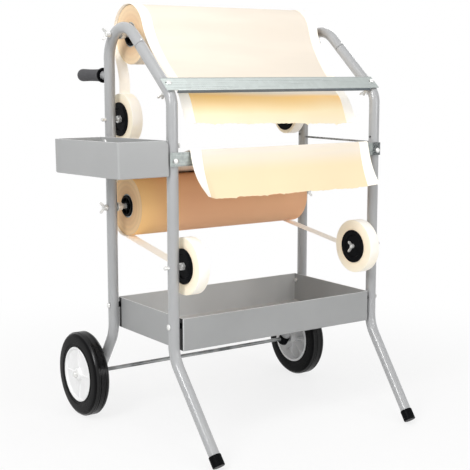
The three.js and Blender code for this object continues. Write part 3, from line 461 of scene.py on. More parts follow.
def add_dome(bm, radius, height, base, direction):
    """A low round bolt head."""
    profile = [(0, 0), (0, radius), (height * 0.3, radius)]
    for i in range(1, 7):
        turn = math.pi / 2 * i / 6
        profile.append((height * (0.3 + 0.7 * math.sin(turn)), radius * math.cos(turn)))
    return add_turned(bm, profile, axis_frame(base, direction), 32)


def bent_path(corners, bends, step=math.radians(5), stride=0.03):
    """Places along straight runs and round bends."""
    headings = [(b - a).normalized() for a, b in zip(corners, corners[1:])]
    places = [corners[0]]
    for corner, before, after, radius in zip(corners[1:], headings, headings[1:], bends):
        turn = before.angle(after)
        inward = (after - before * after.dot(before)).normalized()
        start = corner - before * radius * math.tan(turn / 2)
        count = math.ceil(turn / step)
        for i in range(count + 1):
            t = turn * i / count
            places.append(start + before * radius * math.sin(t) + inward * radius * (1 - math.cos(t)))
    places.append(corners[-1])
    dense = [places[0]]
    for a, b in zip(places, places[1:]):
        count = max(1, math.ceil((b - a).length / stride))
        dense += [a.lerp(b, i / count) for i in range(1, count + 1)]
    return dense


def swept(places, radius, sides, finish):
    """A tube along a line of places."""
    mesh = bpy.data.meshes.new("part")
    mesh.from_pydata([tuple(p) for p in places], [(i, i + 1) for i in range(len(places) - 1)], [])
    return smoothed(grown(linked(mesh), "Tube along a path", Radius=radius, Sides=sides,
                          Material=slot_finish(finish)))


def ringed(bm, count, centre, axis, finish):
    """The part in bm, copied round an axis."""
    return grown(from_bmesh(bm), "Ring of copies", Count=count, Centre=centre, Axis=axis,
                 Material=slot_finish(finish))


def drilled(obj, cutter):
    """Cuts the cutter out of obj and removes it."""
    modifier = obj.modifiers.new("Holes", "BOOLEAN")
    modifier.operation = "DIFFERENCE"
    modifier.solver = "EXACT"
    modifier.object = cutter
    baked(obj)
    bpy.data.objects.remove(cutter)
    return smoothed(obj)


# ---------------------------------------------------------------------------- materials

class Finish:
    """The nodes of one material, on the piece's own coordinates."""

    def __init__(self, name, base, roughness, metallic=0.0, specular=0.5):
        self.material = bpy.data.materials.new(name)
        self.material.use_nodes = True
        self.tree = self.material.node_tree
        self.shader = self.tree.nodes["Principled BSDF"]
        self.base = tuple(base)
        self.roughness = roughness
        self.give("Roughness", roughness)
        self.give("Metallic", metallic)
        self.give("Specular IOR Level", specular)
        self.coords = self.node("ShaderNodeTexCoord").outputs["Object"]

    def give(self, name, value):
        feed(self.tree, self.shader.inputs[name], value)

    def node(self, kind, inputs=(), **settings):
        return add_node(self.tree, kind, inputs, **settings)

    def mapped(self, scale=(1, 1, 1), location=(0, 0, 0)):
        inputs = {"Vector": self.coords, "Scale": scale, "Location": location}
        return self.node("ShaderNodeMapping", inputs).outputs["Vector"]

    def apart(self, *location):
        """X, Y and Z of the coordinates, moved by location."""
        return self.node("ShaderNodeSeparateXYZ", {"Vector": self.mapped(location=location)}).outputs

    def noise(self, scale, detail=3, stretch=None):
        vector = self.mapped(stretch) if stretch else self.coords
        inputs = {"Scale": scale, "Detail": detail, "Vector": vector}
        return self.node("ShaderNodeTexNoise", inputs).outputs["Fac"]

    def math(self, operation, a, b=0.0):
        return self.node("ShaderNodeMath", {0: a, 1: b}, operation=operation).outputs["Value"]

    def between(self, value, low, high, new_low=0.0, new_high=1.0, smooth=True):
        inputs = {"Value": value, "From Min": low, "From Max": high, "To Min": new_low, "To Max": new_high}
        kind = "SMOOTHSTEP" if smooth else "LINEAR"
        return self.node("ShaderNodeMapRange", inputs, interpolation_type=kind).outputs["Result"]

    def mix(self, factor, a, b, blend="MIX"):
        made = self.node("ShaderNodeMix", data_type="RGBA", blend_type=blend)
        sockets = {socket.identifier: socket for socket in (*made.inputs, *made.outputs)}
        for key, value in (("Factor_Float", factor), ("A_Color", a), ("B_Color", b)):
            feed(self.tree, sockets[key], value)
        return sockets["Result_Color"]

    def tone(self, factor):
        """The base colour, darker or lighter."""
        return tuple(min(1.0, c * factor) for c in self.base)

    def mottle(self, amount, spread, smooth=False):
        """The base colour in patches, darker and lighter by spread."""
        patches = self.between(amount, 0.3, 0.7, smooth=smooth)
        return self.mix(patches, self.tone(1 - spread), self.tone(1 + spread))

    def painted(self):
        """What feeds the base colour so far."""
        return self.shader.inputs["Base Color"].links[0].from_socket

    def rough(self, value, spread):
        low = max(0.02, self.roughness - spread)
        high = min(1.0, self.roughness + spread)
        self.give("Roughness", self.between(value, 0.3, 0.7, low, high, smooth=False))

    def bump(self, height, strength, distance):
        inputs = {"Strength": strength, "Distance": distance, "Height": height}
        self.give("Normal", self.node("ShaderNodeBump", inputs).outputs["Normal"])

    def painted_glow(self, tint, strength):
        """Painted light: an emission glow that stands in for light coming through paper."""
        self.give("Emission Color", tint)
        self.give("Emission Strength", strength)


def scaled(base, factor):
    return tuple(channel * factor for channel in base)


def mottled(finish, patch, spread, grain, rough_spread, strength, distance):
    """Broad patches of tone, with fine grain in the roughness and the bump."""
    fine = finish.noise(grain, 2)
    finish.give("Base Color", finish.mottle(finish.noise(patch), spread))
    finish.rough(fine, rough_spread)
    finish.bump(fine, strength, distance)
    return finish


def paint(name, base, roughness, coat):
    """Stove paint with a faint orange peel, a little dust and a clear top."""
    finish = mottled(Finish(name, base, roughness, specular=0.3), 7, 0.03, 900, 0.04, 0.1, 0.0002)
    finish.give("Coat Weight", coat)
    finish.give("Coat Roughness", 0.07)
    return finish


def tray_pads(name, colours):
    """The trays' paint, darker as painted shade, with painted shade in near black on the outer walls beside
    the uprights.
    """
    gap_shade_face, gap_shade_reach = HALF_SPACING - 0.0216, FRAME_DEPTH / 2 - 0.0095
    # Painted shade: the lower tray's paint is 0.88 of the tray paint, for a tray that gets less light.
    finish = paint(name, scaled(colours.tray_paint, 0.88), 0.48, 0.12)
    painted = finish.painted()
    place = finish.apart(-MIDDLE_X, -FRONT_Y, 0)
    outer = finish.math("GREATER_THAN", finish.math("ABSOLUTE", place["X"]), gap_shade_face)
    from_middle = finish.math("ABSOLUTE", finish.math("SUBTRACT", place["Y"], FRAME_DEPTH / 2))
    beside = finish.math("GREATER_THAN", from_middle, gap_shade_reach)
    # Painted shade: near black on the outer walls where they face the uprights' tubes.
    finish.give("Base Color", finish.mix(finish.math("MULTIPLY", outer, beside), painted, shade(24, 25, 26)))
    return finish


def zinc(name, base, right_shade, patch_scale, spread, edge=None):
    """Plated sheet: spangles and rolling lines along its length, with painted shade darker towards its right
    end.
    """
    finish = Finish(name, base, 0.34, metallic=0.62)
    inputs = {"Scale": patch_scale, "Vector": finish.coords}
    spangle = finish.node("ShaderNodeTexVoronoi", inputs, feature="F1").outputs["Color"]
    lines = finish.noise(60, 4, (0.05, 6, 6))
    patches = finish.between(finish.math("ADD", finish.math("MULTIPLY", spangle, 0.35), lines), 0.35, 0.95)
    plate = finish.mix(patches, finish.tone(1 - spread), finish.tone(1 + spread / 2))
    # Painted shade: darker towards the right end, standing in for the reflection that brightens the left end.
    shaded_to_right = finish.between(finish.apart(-MIDDLE_X, 0, 0)["X"], -0.3, 0.33, smooth=False)
    plate = finish.mix(shaded_to_right, plate, (right_shade,) * 3, "MULTIPLY")
    # Painted shade: a dark band just below the top edge, for a narrow fold facet that lies in shade.
    if edge:
        direction, top = edge
        inputs = {0: finish.coords, 1: direction}
        along = finish.node("ShaderNodeVectorMath", inputs, operation="DOT_PRODUCT").outputs["Value"]
        plate = finish.mix(finish.between(along, top - 0.0032, top - 0.0018), plate, finish.tone(0.5))
    finish.give("Base Color", plate)
    finish.rough(lines, 0.1)
    finish.bump(lines, 0.12, 0.0002)
    return finish


def upper_bar_zinc(name, colours):
    along = slant_axes()[0]
    top = Vector((0, FRONT_Y, chosen("tubes").shoulder)).dot(along) + UPPER_BAR_TOP
    return zinc(name, colours.zinc, 0.7, 70, 0.1, (along, top))


def lower_bar_zinc(name, colours):
    """Darker and more mottled than the upper bar, with a dark right end."""
    finish = zinc(name, scaled(colours.zinc, 0.55), 0.9, 150, 0.3)
    plated = finish.painted()
    end = finish.between(finish.apart(-MIDDLE_X, 0, 0)["X"], HALF_SPACING - 0.022, HALF_SPACING - 0.017)
    specks = finish.between(finish.noise(330, 3), 0.42, 0.62)
    dark = finish.mix(specks, shade(62, 66, 66), shade(142, 146, 146))
    finish.give("Base Color", finish.mix(end, plated, dark))
    return finish


def axle_zinc(name, colours):
    """Grey drawn rod with dark drawing lines and blotches."""
    finish = Finish(name, shade(176, 178, 178), 0.42, metallic=0.5)
    lines = finish.noise(30, 4, (0.12, 9, 9))
    blotches = finish.noise(34, 3, (0.6, 1, 1))
    marks = finish.math("ADD", finish.math("MULTIPLY", lines, 0.6), finish.math("MULTIPLY", blotches, 0.4))
    finish.give("Base Color", finish.mix(finish.between(marks, 0.38, 0.6), shade(92, 94, 95), finish.base))
    finish.rough(lines, 0.1)
    return finish


def tyre_rubber(name, colours):
    """Dark rubber, a little dusty in patches."""
    finish = Finish(name, colours.tyre, 0.3, specular=0.06)
    dust = finish.between(finish.noise(14, 5), 0.45, 0.75)
    finish.give("Base Color", finish.mix(dust, finish.tone(0.85), finish.tone(1.35)))
    finish.rough(finish.noise(25, 4), 0.1)
    finish.bump(finish.noise(800, 2), 0.2, 0.0003)
    return finish


def wound_edge(name, base, node, pitch, spread, warm, through=0.0):
    """The end of a roll: fine rings of wound layers, warmer towards the core."""
    finish = Finish(name, base, 0.85)
    # Painted light: an emission glow of strength through, as if light came through the paper.
    finish.painted_glow(shade(255, 242, 210), through)
    centre = middle_of(node)
    place = finish.apart(0, -centre.y, -centre.z)
    squares = [finish.math("POWER", place[axis], 2.0) for axis in "YZ"]
    distance = finish.math("SQRT", finish.math("ADD", *squares))
    wander = finish.math("MULTIPLY", finish.noise(9, 2), 2.5)
    turns = finish.math("MULTIPLY", distance, math.tau / pitch)
    rings = finish.math("SINE", finish.math("ADD", turns, wander))
    coarse = finish.math("SINE", finish.math("MULTIPLY", distance, math.tau / (pitch * 4.3)))
    layers = finish.between(finish.math("ADD", rings, coarse), -2, 2, smooth=False)
    shaded = finish.mix(layers, finish.tone(1 - spread), finish.tone(1 + spread))
    core = finish.between(distance, 0.035, 0.085, 0.55, 0.0)
    finish.give("Base Color", finish.mix(core, shaded, warm))
    finish.bump(layers, 0.25, 0.0004)
    return finish


def paper_face(name, base, spread, left=None):
    """The rolled face of paper: long soft bands and fine fibre, with another tone towards its left end."""
    finish = Finish(name, base, 0.82)
    face = finish.mottle(finish.noise(5, 3, (0.25, 1.6, 1.6)), spread, smooth=True)
    if left:
        to_left = finish.between(finish.apart(-MIDDLE_X, 0, 0)["X"], -0.3, -0.12, 1.0, 0.0)
        face = finish.mix(to_left, face, left)
    finish.give("Base Color", face)
    fibre = finish.noise(420, 3, (1, 2.5, 2.5))
    finish.rough(fibre, 0.06)
    finish.bump(fibre, 0.12, 0.0002)
    return finish


def core_board(name, colours):
    """Printed core board with spiral seams."""
    finish = Finish(name, colours.core, 0.45)
    seams = finish.noise(60, 2, (6, 1, 1))
    print_bands = finish.between(seams, 0.35, 0.65)
    finish.give("Base Color", finish.mix(print_bands, finish.tone(0.75), finish.tone(1.15)))
    finish.bump(seams, 0.1, 0.0002)
    return finish


def crepe(name, base, tint, through):
    """Crepe paper tape: fine wrinkles across its length, and painted light: an emission glow as if light came
    through it.
    """
    finish = Finish(name, base, 0.8)
    finish.painted_glow(shade(255, 250, 234), through)
    patches = finish.between(finish.noise(12, 2), 0.35, 0.75, 0.0, 0.6)
    finish.give("Base Color", finish.mix(patches, finish.base, tint))
    wrinkles = finish.noise(260, 4, (0.3, 3, 3))
    finish.rough(wrinkles, 0.06)
    finish.bump(wrinkles, 0.3, 0.0003)
    return finish


def sheet_paper(name, base, hung, glow, reach, shine=0.0):
    """Drawn paper: soft cross bands, fine fibre, and painted light where it hangs behind its bar: a warm glow
    colour in its base and, with shine, an emission glow.
    """
    finish = Finish(name, base, 0.78)
    hang = finish.node("ShaderNodeAttribute", attribute_name="hang").outputs["Fac"]
    bands = finish.between(finish.noise(3.5, 3, (0.6, 2.0, 4.0)), 0.35, 0.7)
    plain = finish.mix(bands, finish.tone(0.97), finish.tone(1.04))
    plain = finish.mix(finish.between(hang, 0.0, 0.06), plain, hung)
    # Painted light: the glow colour is mixed into the base colour from the bar down, fading out by reach.
    ripple = finish.math("MULTIPLY", finish.noise(7, 2), 0.02)
    lead = finish.between(finish.apart(-MIDDLE_X, 0, 0)["X"], 0.0, 0.3, 0.0, 0.013)
    glowing = finish.math("ADD", hang, lead)
    fade = finish.between(finish.math("ADD", glowing, ripple), -0.005, reach, 1.0, 0.0, smooth=False)
    start = finish.between(glowing, 0.0, 0.02)
    finish.give("Base Color", finish.mix(finish.math("MULTIPLY", fade, start), plain, glow))
    # Painted light: with shine, an emission glow near the top of the hang.
    if shine:
        near = finish.math("MULTIPLY", start, finish.between(hang, 0.045, 0.105, 1.0, 0.1))
        finish.painted_glow(shade(255, 198, 76), finish.math("MULTIPLY", near, shine))
    fibre = finish.noise(380, 3)
    finish.rough(fibre, 0.05)
    finish.bump(fibre, 0.12, 0.0002)
    return finish


def plain(base, roughness, *grain, **shine):
    """A mottled finish whose base is a colour or the name of a colour setting."""
    def make(name, colours):
        own = getattr(colours, base) if isinstance(base, str) else base
        return mottled(Finish(name, own, roughness, **shine), *grain)
    return make


FINISHES = {
    "frame_satin": lambda name, c: paint(name, c.frame_paint, 0.36, 0.9),
    "tray_satin": lambda name, c: paint(name, c.tray_paint, 0.48, 0.12),
    # Painted highlight: a lighter paint for the trays' upper edges.
    "tray_edge": lambda name, c: paint(name, shade(226, 227, 227), 0.4, 0.12),
    # Painted light: a lighter copy of the tray paint for the lower tray's shaded inside.
    "tray_inner": lambda name, c: paint(name, scaled(c.tray_paint, 1.45), 0.48, 0.12),
    # Painted shade: darker tray paint, near black beside the uprights.
    "tray_pads": tray_pads,
    "upper_bar_zinc": upper_bar_zinc,
    "lower_bar_zinc": lower_bar_zinc,
    # Painted shade: a dark zinc for the bars' turned-back lip, whose underside would lie in shade.
    "dull_zinc": lambda name, c: zinc(name, shade(112, 120, 126), 0.9, 70, 0.12),
    "axle_zinc": axle_zinc,
    "bright_steel": plain("steel", 0.26, 90, 0.07, 1400, 0.08, 0.1, 0.0001, metallic=0.45),
    "black_moulding": plain("black", 0.26, 40, 0.25, 700, 0.05, 0.08, 0.0001, specular=0.025),
    "grip_skin": plain("grip", 0.72, 30, 0.08, 1100, 0.06, 0.35, 0.0004, specular=0.25),
    "tyre_rubber": tyre_rubber,
    "tread_rubber": plain("tyre", 0.2, 30, 0.2, 500, 0.06, 0.1, 0.0002, specular=0.3),
    "rim_moulding": plain("rim", 0.42, 22, 0.03, 500, 0.08, 0.08, 0.0002),
    "core_end": plain(shade(206, 216, 220), 0.7, 60, 0.06, 500, 0.05, 0.1, 0.0002),
    "core_print": core_board,
    "cream_face": lambda name, c: paper_face(name, c.cream, 0.02),
    # Painted shade: the lower roll's face and end take the darker, warmer tone of shaded cream paper.
    "kraft_face": lambda name, c: paper_face(name, c.kraft, 0.06, shade(255, 206, 140)),
    "cream_edge": lambda name, c: wound_edge(
        name, shade(250, 222, 184), "paper_roll_upper", 0.0034, 0.07, shade(236, 190, 146)),
    "kraft_edge": lambda name, c: wound_edge(
        name, shade(246, 208, 160), "paper_roll_lower", 0.0034, 0.09, shade(222, 176, 134)),
    # Painted light: the tape finishes' last number is the strength of an emission glow.
    "tape_face": lambda name, c: crepe(name, c.tape, shade(253, 240, 214), 0.06),
    "tape_strip": lambda name, c: crepe(name, shade(252, 248, 242), shade(252, 245, 232), 0.14),
    # Painted light: the sheets' glow colours and the upper sheet's emission shine.
    "upper_sheet": lambda name, c: sheet_paper(
        name, c.cream, shade(252, 240, 210), shade(248, 189, 56), 0.078, 0.2),
    "lower_sheet": lambda name, c: sheet_paper(
        name, c.cream, shade(246, 226, 188), shade(248, 232, 196), 0.035),
}


def slot_finish(name):
    """A material by name, made once from the colour settings."""
    return bpy.data.materials.get(name) or FINISHES[name](name, chosen("colours")).material


# ---------------------------------------------------------------------------- side frames

def slant_axes():
    """The slant's direction and the one square to it, upwards."""
    slant = chosen("tubes").slant
    along = Vector((0, math.cos(slant), math.sin(slant)))
    return along, Vector((0, -along.z, along.y))


def slant_point(side, reach, lift=0.0):
    along, normal = slant_axes()
    return at(side * HALF_SPACING, 0, chosen("tubes").shoulder) + along * reach + normal * lift


def hoop_places():
    """Height of the hoop bend's centre, and how far up the slant the sleeve's seam lies."""
    tubes = chosen("tubes")
    tangent = tubes.hoop_bend * math.tan((math.pi / 2 + tubes.slant) / 2)
    centre = tubes.shoulder + FRAME_DEPTH * math.tan(tubes.slant) - tangent
    return centre, FRAME_DEPTH / math.cos(tubes.slant) - tangent - tubes.seam


def tube_face():
    """How far a piece that seats on a tube lies from the tube's middle."""
    return chosen("tubes").radius + SEAT


def leg_direction(side):
    lean, toe = chosen("tubes").leg_lean, chosen("tubes").toe_in
    forward = Vector((-side * math.sin(toe), -math.cos(toe), 0)) * math.sin(lean)
    return forward - UP * math.cos(lean)


def foot_point(side):
    """Middle of the foot cap's floor."""
    tubes = chosen("tubes")
    drop = tubes.lower_bend - CAP_RADIUS * math.sin(tubes.leg_lean)
    corner = at(side * HALF_SPACING, 0, tubes.lower_bend)
    return corner + leg_direction(side) * drop / math.cos(tubes.leg_lean)


def axle_point(side):
    place = middle_of("axle")
    return Vector((MIDDLE_X + side * HALF_SPACING, place.y, place.z))


def rear_leg_direction():
    return (axle_point(1) - at(HALF_SPACING, FRAME_DEPTH, chosen("tubes").lower_bend)).normalized()


def rear_cap_point(side):
    """Middle of the floor of the rear leg's cap."""
    return axle_point(side) + rear_leg_direction() * CAP_BEFORE_AXLE


def side_stud_height(y):
    """Height of the side tray's bolts, where the right frame has open holes."""
    trays = chosen("trays")
    drop = trays.side_drop + trays.side_stud_drop
    return chosen("tubes").shoulder - drop - y * math.tan(trays.side_tilt)


def open_hole(tube, side, y):
    """Drills the right frame's tube where the left one carries the side tray."""
    radius, reach = 0.0043, 0.03
    if side > 0:
        middle = at(side * HALF_SPACING, y, side_stud_height(y))
        pin = add_rod(bmesh.new(), radius, middle - ACROSS * reach, middle + ACROSS * reach, sides=20)
        drilled(tube, from_bmesh(pin))
    return tube


def front_leg(hand, side):
    tubes = chosen("tubes")
    seam = hoop_places()[1]
    x = side * HALF_SPACING
    foot = foot_point(side) - leg_direction(side) * CAP_FLOOR
    path = bent_path([foot, at(x, 0, tubes.lower_bend), at(x, 0, tubes.shoulder), slant_point(side, seam)],
                     [tubes.leg_bend, tubes.shoulder_bend])
    leg = open_hole(swept(path, tubes.radius, tubes.sides, "frame_satin"), side, 0)
    swage_radius, swage_before, swage_behind = 0.013, -0.01, 0.035
    swage = [slant_point(side, seam + reach) for reach in (swage_before, swage_behind)]
    sleeve = swept(swage, swage_radius, 24, "axle_zinc")
    finished("front_leg_" + hand, "tube", "frame", "frame_paint", leg, sleeve)


def weld_bead(side):
    """The bead where the push handle's tube meets the rear upright."""
    tubes = chosen("tubes")
    z = hoop_places()[0] - tubes.handle_drop
    sides, around, bumps = 48, 10, 9
    bm = bmesh.new()
    rings = []
    turns = [math.tau * k / around for k in range(around)]
    for i in range(sides):
        turn = math.tau * i / sides
        outward = Vector((math.cos(turn), 0, math.sin(turn)))
        x = tubes.handle_radius * outward.x
        y = math.sqrt(max(0.0, tubes.radius ** 2 - x ** 2))
        root = at(side * HALF_SPACING + x, FRAME_DEPTH + y, z + tubes.handle_radius * outward.z)
        thick = 0.0021 + 0.0004 * math.sin(bumps * turn)
        bead = [root + (outward * math.cos(t) + BACKWARD * math.sin(t)) * thick for t in turns]
        rings.append([bm.verts.new(place) for place in bead])
    add_strip(bm, rings + rings[:1])
    return smoothed(from_bmesh(bm, "frame_satin"))


def rear_hoop(hand, side):
    tubes = chosen("tubes")
    x = side * HALF_SPACING
    centre, seam = hoop_places()
    seam_gap, screw_reach, screw_sink = 0.0018, 0.009, 0.001
    handle_start, handle_end = 0.008, 0.006
    corners = [slant_point(side, seam + seam_gap),
               at(x, FRAME_DEPTH, tubes.shoulder + FRAME_DEPTH * math.tan(tubes.slant)),
               at(x, FRAME_DEPTH, tubes.lower_bend),
               rear_cap_point(side) - rear_leg_direction() * CAP_FLOOR]
    path = bent_path(corners, [tubes.hoop_bend, tubes.leg_bend])
    hoop = open_hole(swept(path, tubes.radius, tubes.sides, "frame_satin"), side, FRAME_DEPTH)
    z = centre - tubes.handle_drop
    grip_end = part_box("handle_grip_" + hand)[1].y - FRONT_Y
    handle = swept([at(x, FRAME_DEPTH + handle_start, z), at(x, grip_end - handle_end, z)],
                   tubes.handle_radius, 32, "frame_satin")
    foot = slant_point(side, seam + screw_reach, tubes.radius - screw_sink)
    head = smoothed(turned([(0, 0), (0, 0.0034), (0.0016, 0.0032), (0.0024, 0.0022), (0.0027, 0)],
                           axis_frame(foot, slant_axes()[1]), 20, "bright_steel"))
    finished("rear_hoop_" + hand, "tube", "frame", "frame_paint", hoop, handle, weld_bead(side), head)


class DISPENSER_OT_side_frames(bpy.types.Operator):
    """Bent tubes of both side frames, with their sleeve seams and push handle tubes"""
    bl_idname = "dispenser.side_frames"
    bl_label = "Side Frames"

    def execute(self, context):
        for hand, side in SIDES.items():
            front_leg(hand, side)
            rear_hoop(hand, side)
        return {"FINISHED"}


def tube_cap(node, floor, upward):
    """A ribbed cup over a tube's end."""
    lowest = (upward * upward.z - UP).normalized()
    frame_matrix = axis_frame(floor, upward, lowest)
    profile = [(0, 0), (0, 0.0168), (0.0315, 0.0168), (0.0315, 0.0158), (0.006, 0.0158), (0.006, 0)]
    cup = evened(turned(eased(profile, 0.0012, closed=False), frame_matrix, 54, "black_moulding"))
    outline = [(0.0162, -0.0013), (0.01715, -0.0007), (CAP_RADIUS, 0), (0.01715, 0.0007), (0.0162, 0.0013)]
    rib_length, rib_middle = 0.0285, 0.0155
    plane = frame_matrix @ Matrix.Translation((0, 0, rib_middle))
    rib = add_plate(bmesh.new(), outline, rib_length, plane, 0.0002)
    ribs = ringed(rib, chosen("wheels").cap_ribs, floor, upward, "black_moulding")
    finished(node, "moulding", "frame", "black_plastic", cup, smoothed(ribs))


class DISPENSER_OT_tube_caps(bpy.types.Operator):
    """Ribbed caps on the front feet and on the raked rear legs"""
    bl_idname = "dispenser.tube_caps"
    bl_label = "Tube Caps"

    def execute(self, context):
        for hand, side in SIDES.items():
            tube_cap("foot_cap_" + hand, foot_point(side), -leg_direction(side))
            tube_cap("axle_cap_" + hand, rear_cap_point(side), -rear_leg_direction())
        return {"FINISHED"}


def handle_grip(hand):
    """A slightly waisted grip with a flange and a rounded end."""
    low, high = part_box("handle_grip_" + hand)
    span = high.y - low.y
    wall, radius, bore = 0.0215, 0.018, 0.0128
    flange, waist, rounding = 0.013, 0.0012, 0.009
    profile = [(0, bore), (0, wall), (0.005, wall), (0.008, radius + waist), (flange, radius)]
    for i in range(1, 10):
        share = i / 10
        along = flange + share * (span - flange - 2 * rounding)
        profile.append((along, radius - waist * math.sin(math.pi * share)))
    profile += [(span - 2 * rounding, radius), (span - rounding, radius)]
    for i in range(1, 7):
        turn = math.pi / 2 * i / 6
        profile.append((span - rounding * (1 - math.sin(turn)), radius - rounding * (1 - math.cos(turn))))
    profile += [(span, 0), (span - 0.004, 0), (span - 0.004, bore)]
    origin = Vector(((low.x + high.x) / 2, low.y, (low.z + high.z) / 2))
    grip = smoothed(turned(profile, axis_frame(origin, BACKWARD), 48, "grip_skin"), 50)
    refaced(grip, slot_finish("black_moulding"), lambda face: face.center.y < origin.y + 0.0065)
    finished("handle_grip_" + hand, "sleeve", "frame", "grip_rubber", grip)


class DISPENSER_OT_grips(bpy.types.Operator):
    """Grips on the two push handles"""
    bl_idname = "dispenser.grips"
    bl_label = "Push Handle Grips"

    def execute(self, context):
        for hand in SIDES:
            handle_grip(hand)
        return {"FINISHED"}


# ---------------------------------------------------------------------------- wheels

def wheel_frame(hand, side):
    """Centre plane of a wheel with Z outwards, half its width and its radius."""
    size = size_of("wheel_tyre_" + hand)
    return axis_frame(middle_of("wheel_tyre_" + hand), ACROSS * side, UP), size.x / 2, size.z / 2


def wheel_tyre(hand, side):
    """A tyre with a ridge on each side wall and raised lines round its tread."""
    frame_matrix, half, radius = wheel_frame(hand, side)
    seat = 0.0825
    tread_edge = 0.0105
    wall = [(-half, seat + 0.001), (-half, seat + 0.004), (-half + 0.0012, seat + 0.0055),
            (-half + 0.0012, seat + 0.009), (-half, seat + 0.0105), (-half, radius - 0.0135),
            (-half + 0.0012, radius - 0.0085), (-half + 0.0042, radius - 0.0042),
            (-half + 0.0082, radius - 0.0016)]
    tread = [(-half + tread_edge, radius - 0.0008)]
    inner = half - tread_edge - 0.001
    count = chosen("wheels").tread_ribs
    for i in range(count):
        along = -inner + 2 * inner * i / (count - 1)
        deep = 0.0022 if i in (1, count - 2) else 0.0011
        tread += [(along - 0.0013, radius), (along - 0.0005, radius - deep), (along + 0.0005, radius - deep),
                  (along + 0.0013, radius)]
    profile = wall + tread + [(half - tread_edge, radius - 0.0008)]
    profile += [(-along, r) for along, r in reversed(wall)] + [(half - 0.003, seat), (-half + 0.003, seat)]
    tyre = smoothed(turned(profile, frame_matrix, 96, "tyre_rubber"), 32)
    centre = frame_matrix.translation

    def on_tread(face):
        return math.hypot(face.center.y - centre.y, face.center.z - centre.z) > radius - 0.0035

    refaced(tyre, slot_finish("tread_rubber"), on_tread)
    finished("wheel_tyre_" + hand, "rubber", hand + "_wheel", "tyre", tyre)


def wheel_rim(hand, side):
    """A dished rim with a hub and ribs on both faces of its web."""
    settings = chosen("wheels")
    frame_matrix, half, _ = wheel_frame(hand, side)
    seat, band, hub, bore = 0.0822, 0.0752, 0.017, 0.0066
    hub_out, hub_in, web = half + 0.0015, -half - 0.009, half - 0.009
    inner_web, flank = web - 0.004, half - 0.0005
    profile = [(hub_in, bore), (hub_in, hub - 0.003), (hub_in + 0.004, hub), (inner_web, hub + 0.002),
               (inner_web, 0.05), (web - 0.003, 0.062), (web - 0.006, band), (-flank, band), (-flank, seat),
               (flank, seat), (flank, band + 0.002), (web + 0.002, band - 0.001), (web + 0.001, 0.062),
               (web, 0.05), (web, hub + 0.003), (hub_out - 0.002, hub), (hub_out, hub - 0.003),
               (hub_out, bore)]
    rim = evened(turned(eased(profile, 0.0012), frame_matrix, 96, "rim_moulding"))
    outward = ACROSS * side
    centre = frame_matrix.translation
    outline = [(-0.0025, 0.0155), (0.0025, 0.0155), (0.0018, 0.0775), (-0.0018, 0.0775)]
    plane = placed(centre + outward * web, outward.cross(UP), UP)
    rib = add_plate(bmesh.new(), outline, 0.0068, plane, 0.0006)
    ribs = ringed(rib, settings.rim_ribs, centre, outward, "rim_moulding")
    reach = (web + half - 0.01) / 2
    outline = [(-reach, 0.0185), (reach, 0.0185), (reach, 0.0762), (0.0, 0.0762), (-reach, 0.05)]
    middle = centre + outward * (web - half + 0.002) / 2
    rib = add_plate(bmesh.new(), outline, 0.0026, placed(middle, outward, UP), 0.0004)
    inner_ribs = ringed(rib, settings.inner_ribs, centre, outward, "rim_moulding")
    finished("wheel_rim_" + hand, "moulding", hand + "_wheel", "rim_plastic", rim, evened(ribs),
             evened(inner_ribs))


def axle():
    radius, ease = 0.006, 0.001
    middle, reach = middle_of("axle"), ACROSS * size_of("axle").x / 2
    rod = add_rod(bmesh.new(), radius, middle - reach, middle + reach, 32, ease)
    finished("axle", "rod", "frame", "zinc", evened(from_bmesh(rod, "axle_zinc")))


def axle_nut(hand, side):
    """A flanged nut with a domed end over the axle's tip."""
    low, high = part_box("axle_nut_" + hand)
    place = middle_of("axle")
    deep = high.x - low.x
    profile = [(0, 0.0063), (0, 0.0102), (0.0022, 0.0102), (0.0028, 0.0085), (deep - 0.0035, 0.0078),
               (deep - 0.0012, 0.0055), (deep, 0.0022), (deep, 0), (deep - 0.0025, 0),
               (deep - 0.0035, 0.0063)]
    frame_matrix = axis_frame((low.x if side > 0 else high.x, place.y, place.z), ACROSS * side)
    nut = evened(turned(eased(profile, 0.0006), frame_matrix, 32, "bright_steel"))
    finished("axle_nut_" + hand, "dome", "frame", "zinc", nut)


class DISPENSER_OT_wheels(bpy.types.Operator):
    """Tyres, rims, the axle and its nuts"""
    bl_idname = "dispenser.wheels"
    bl_label = "Wheels"

    def execute(self, context):
        for hand, side in SIDES.items():
            wheel_tyre(hand, side)
            wheel_rim(hand, side)
        axle()
        for hand, side in SIDES.items():
            axle_nut(hand, side)
        return {"FINISHED"}


# ---------------------------------------------------------------------------- trays

def corner_ring(low, high, inset, radius, z):
    """A rectangle with round corners at one height."""
    steps = 8
    ring = []
    for x, y, start in ((high.x, low.y, -90), (high.x, high.y, 0), (low.x, high.y, 90), (low.x, low.y, 180)):
        centre_x = x + (inset + radius) * (-1 if x == high.x else 1)
        centre_y = y + (inset + radius) * (-1 if y == high.y else 1)
        for i in range(steps + 1):
            turn = math.radians(start + 90 * i / steps)
            ring.append(Vector((centre_x + radius * math.cos(turn), centre_y + radius * math.sin(turn), z)))
    return ring


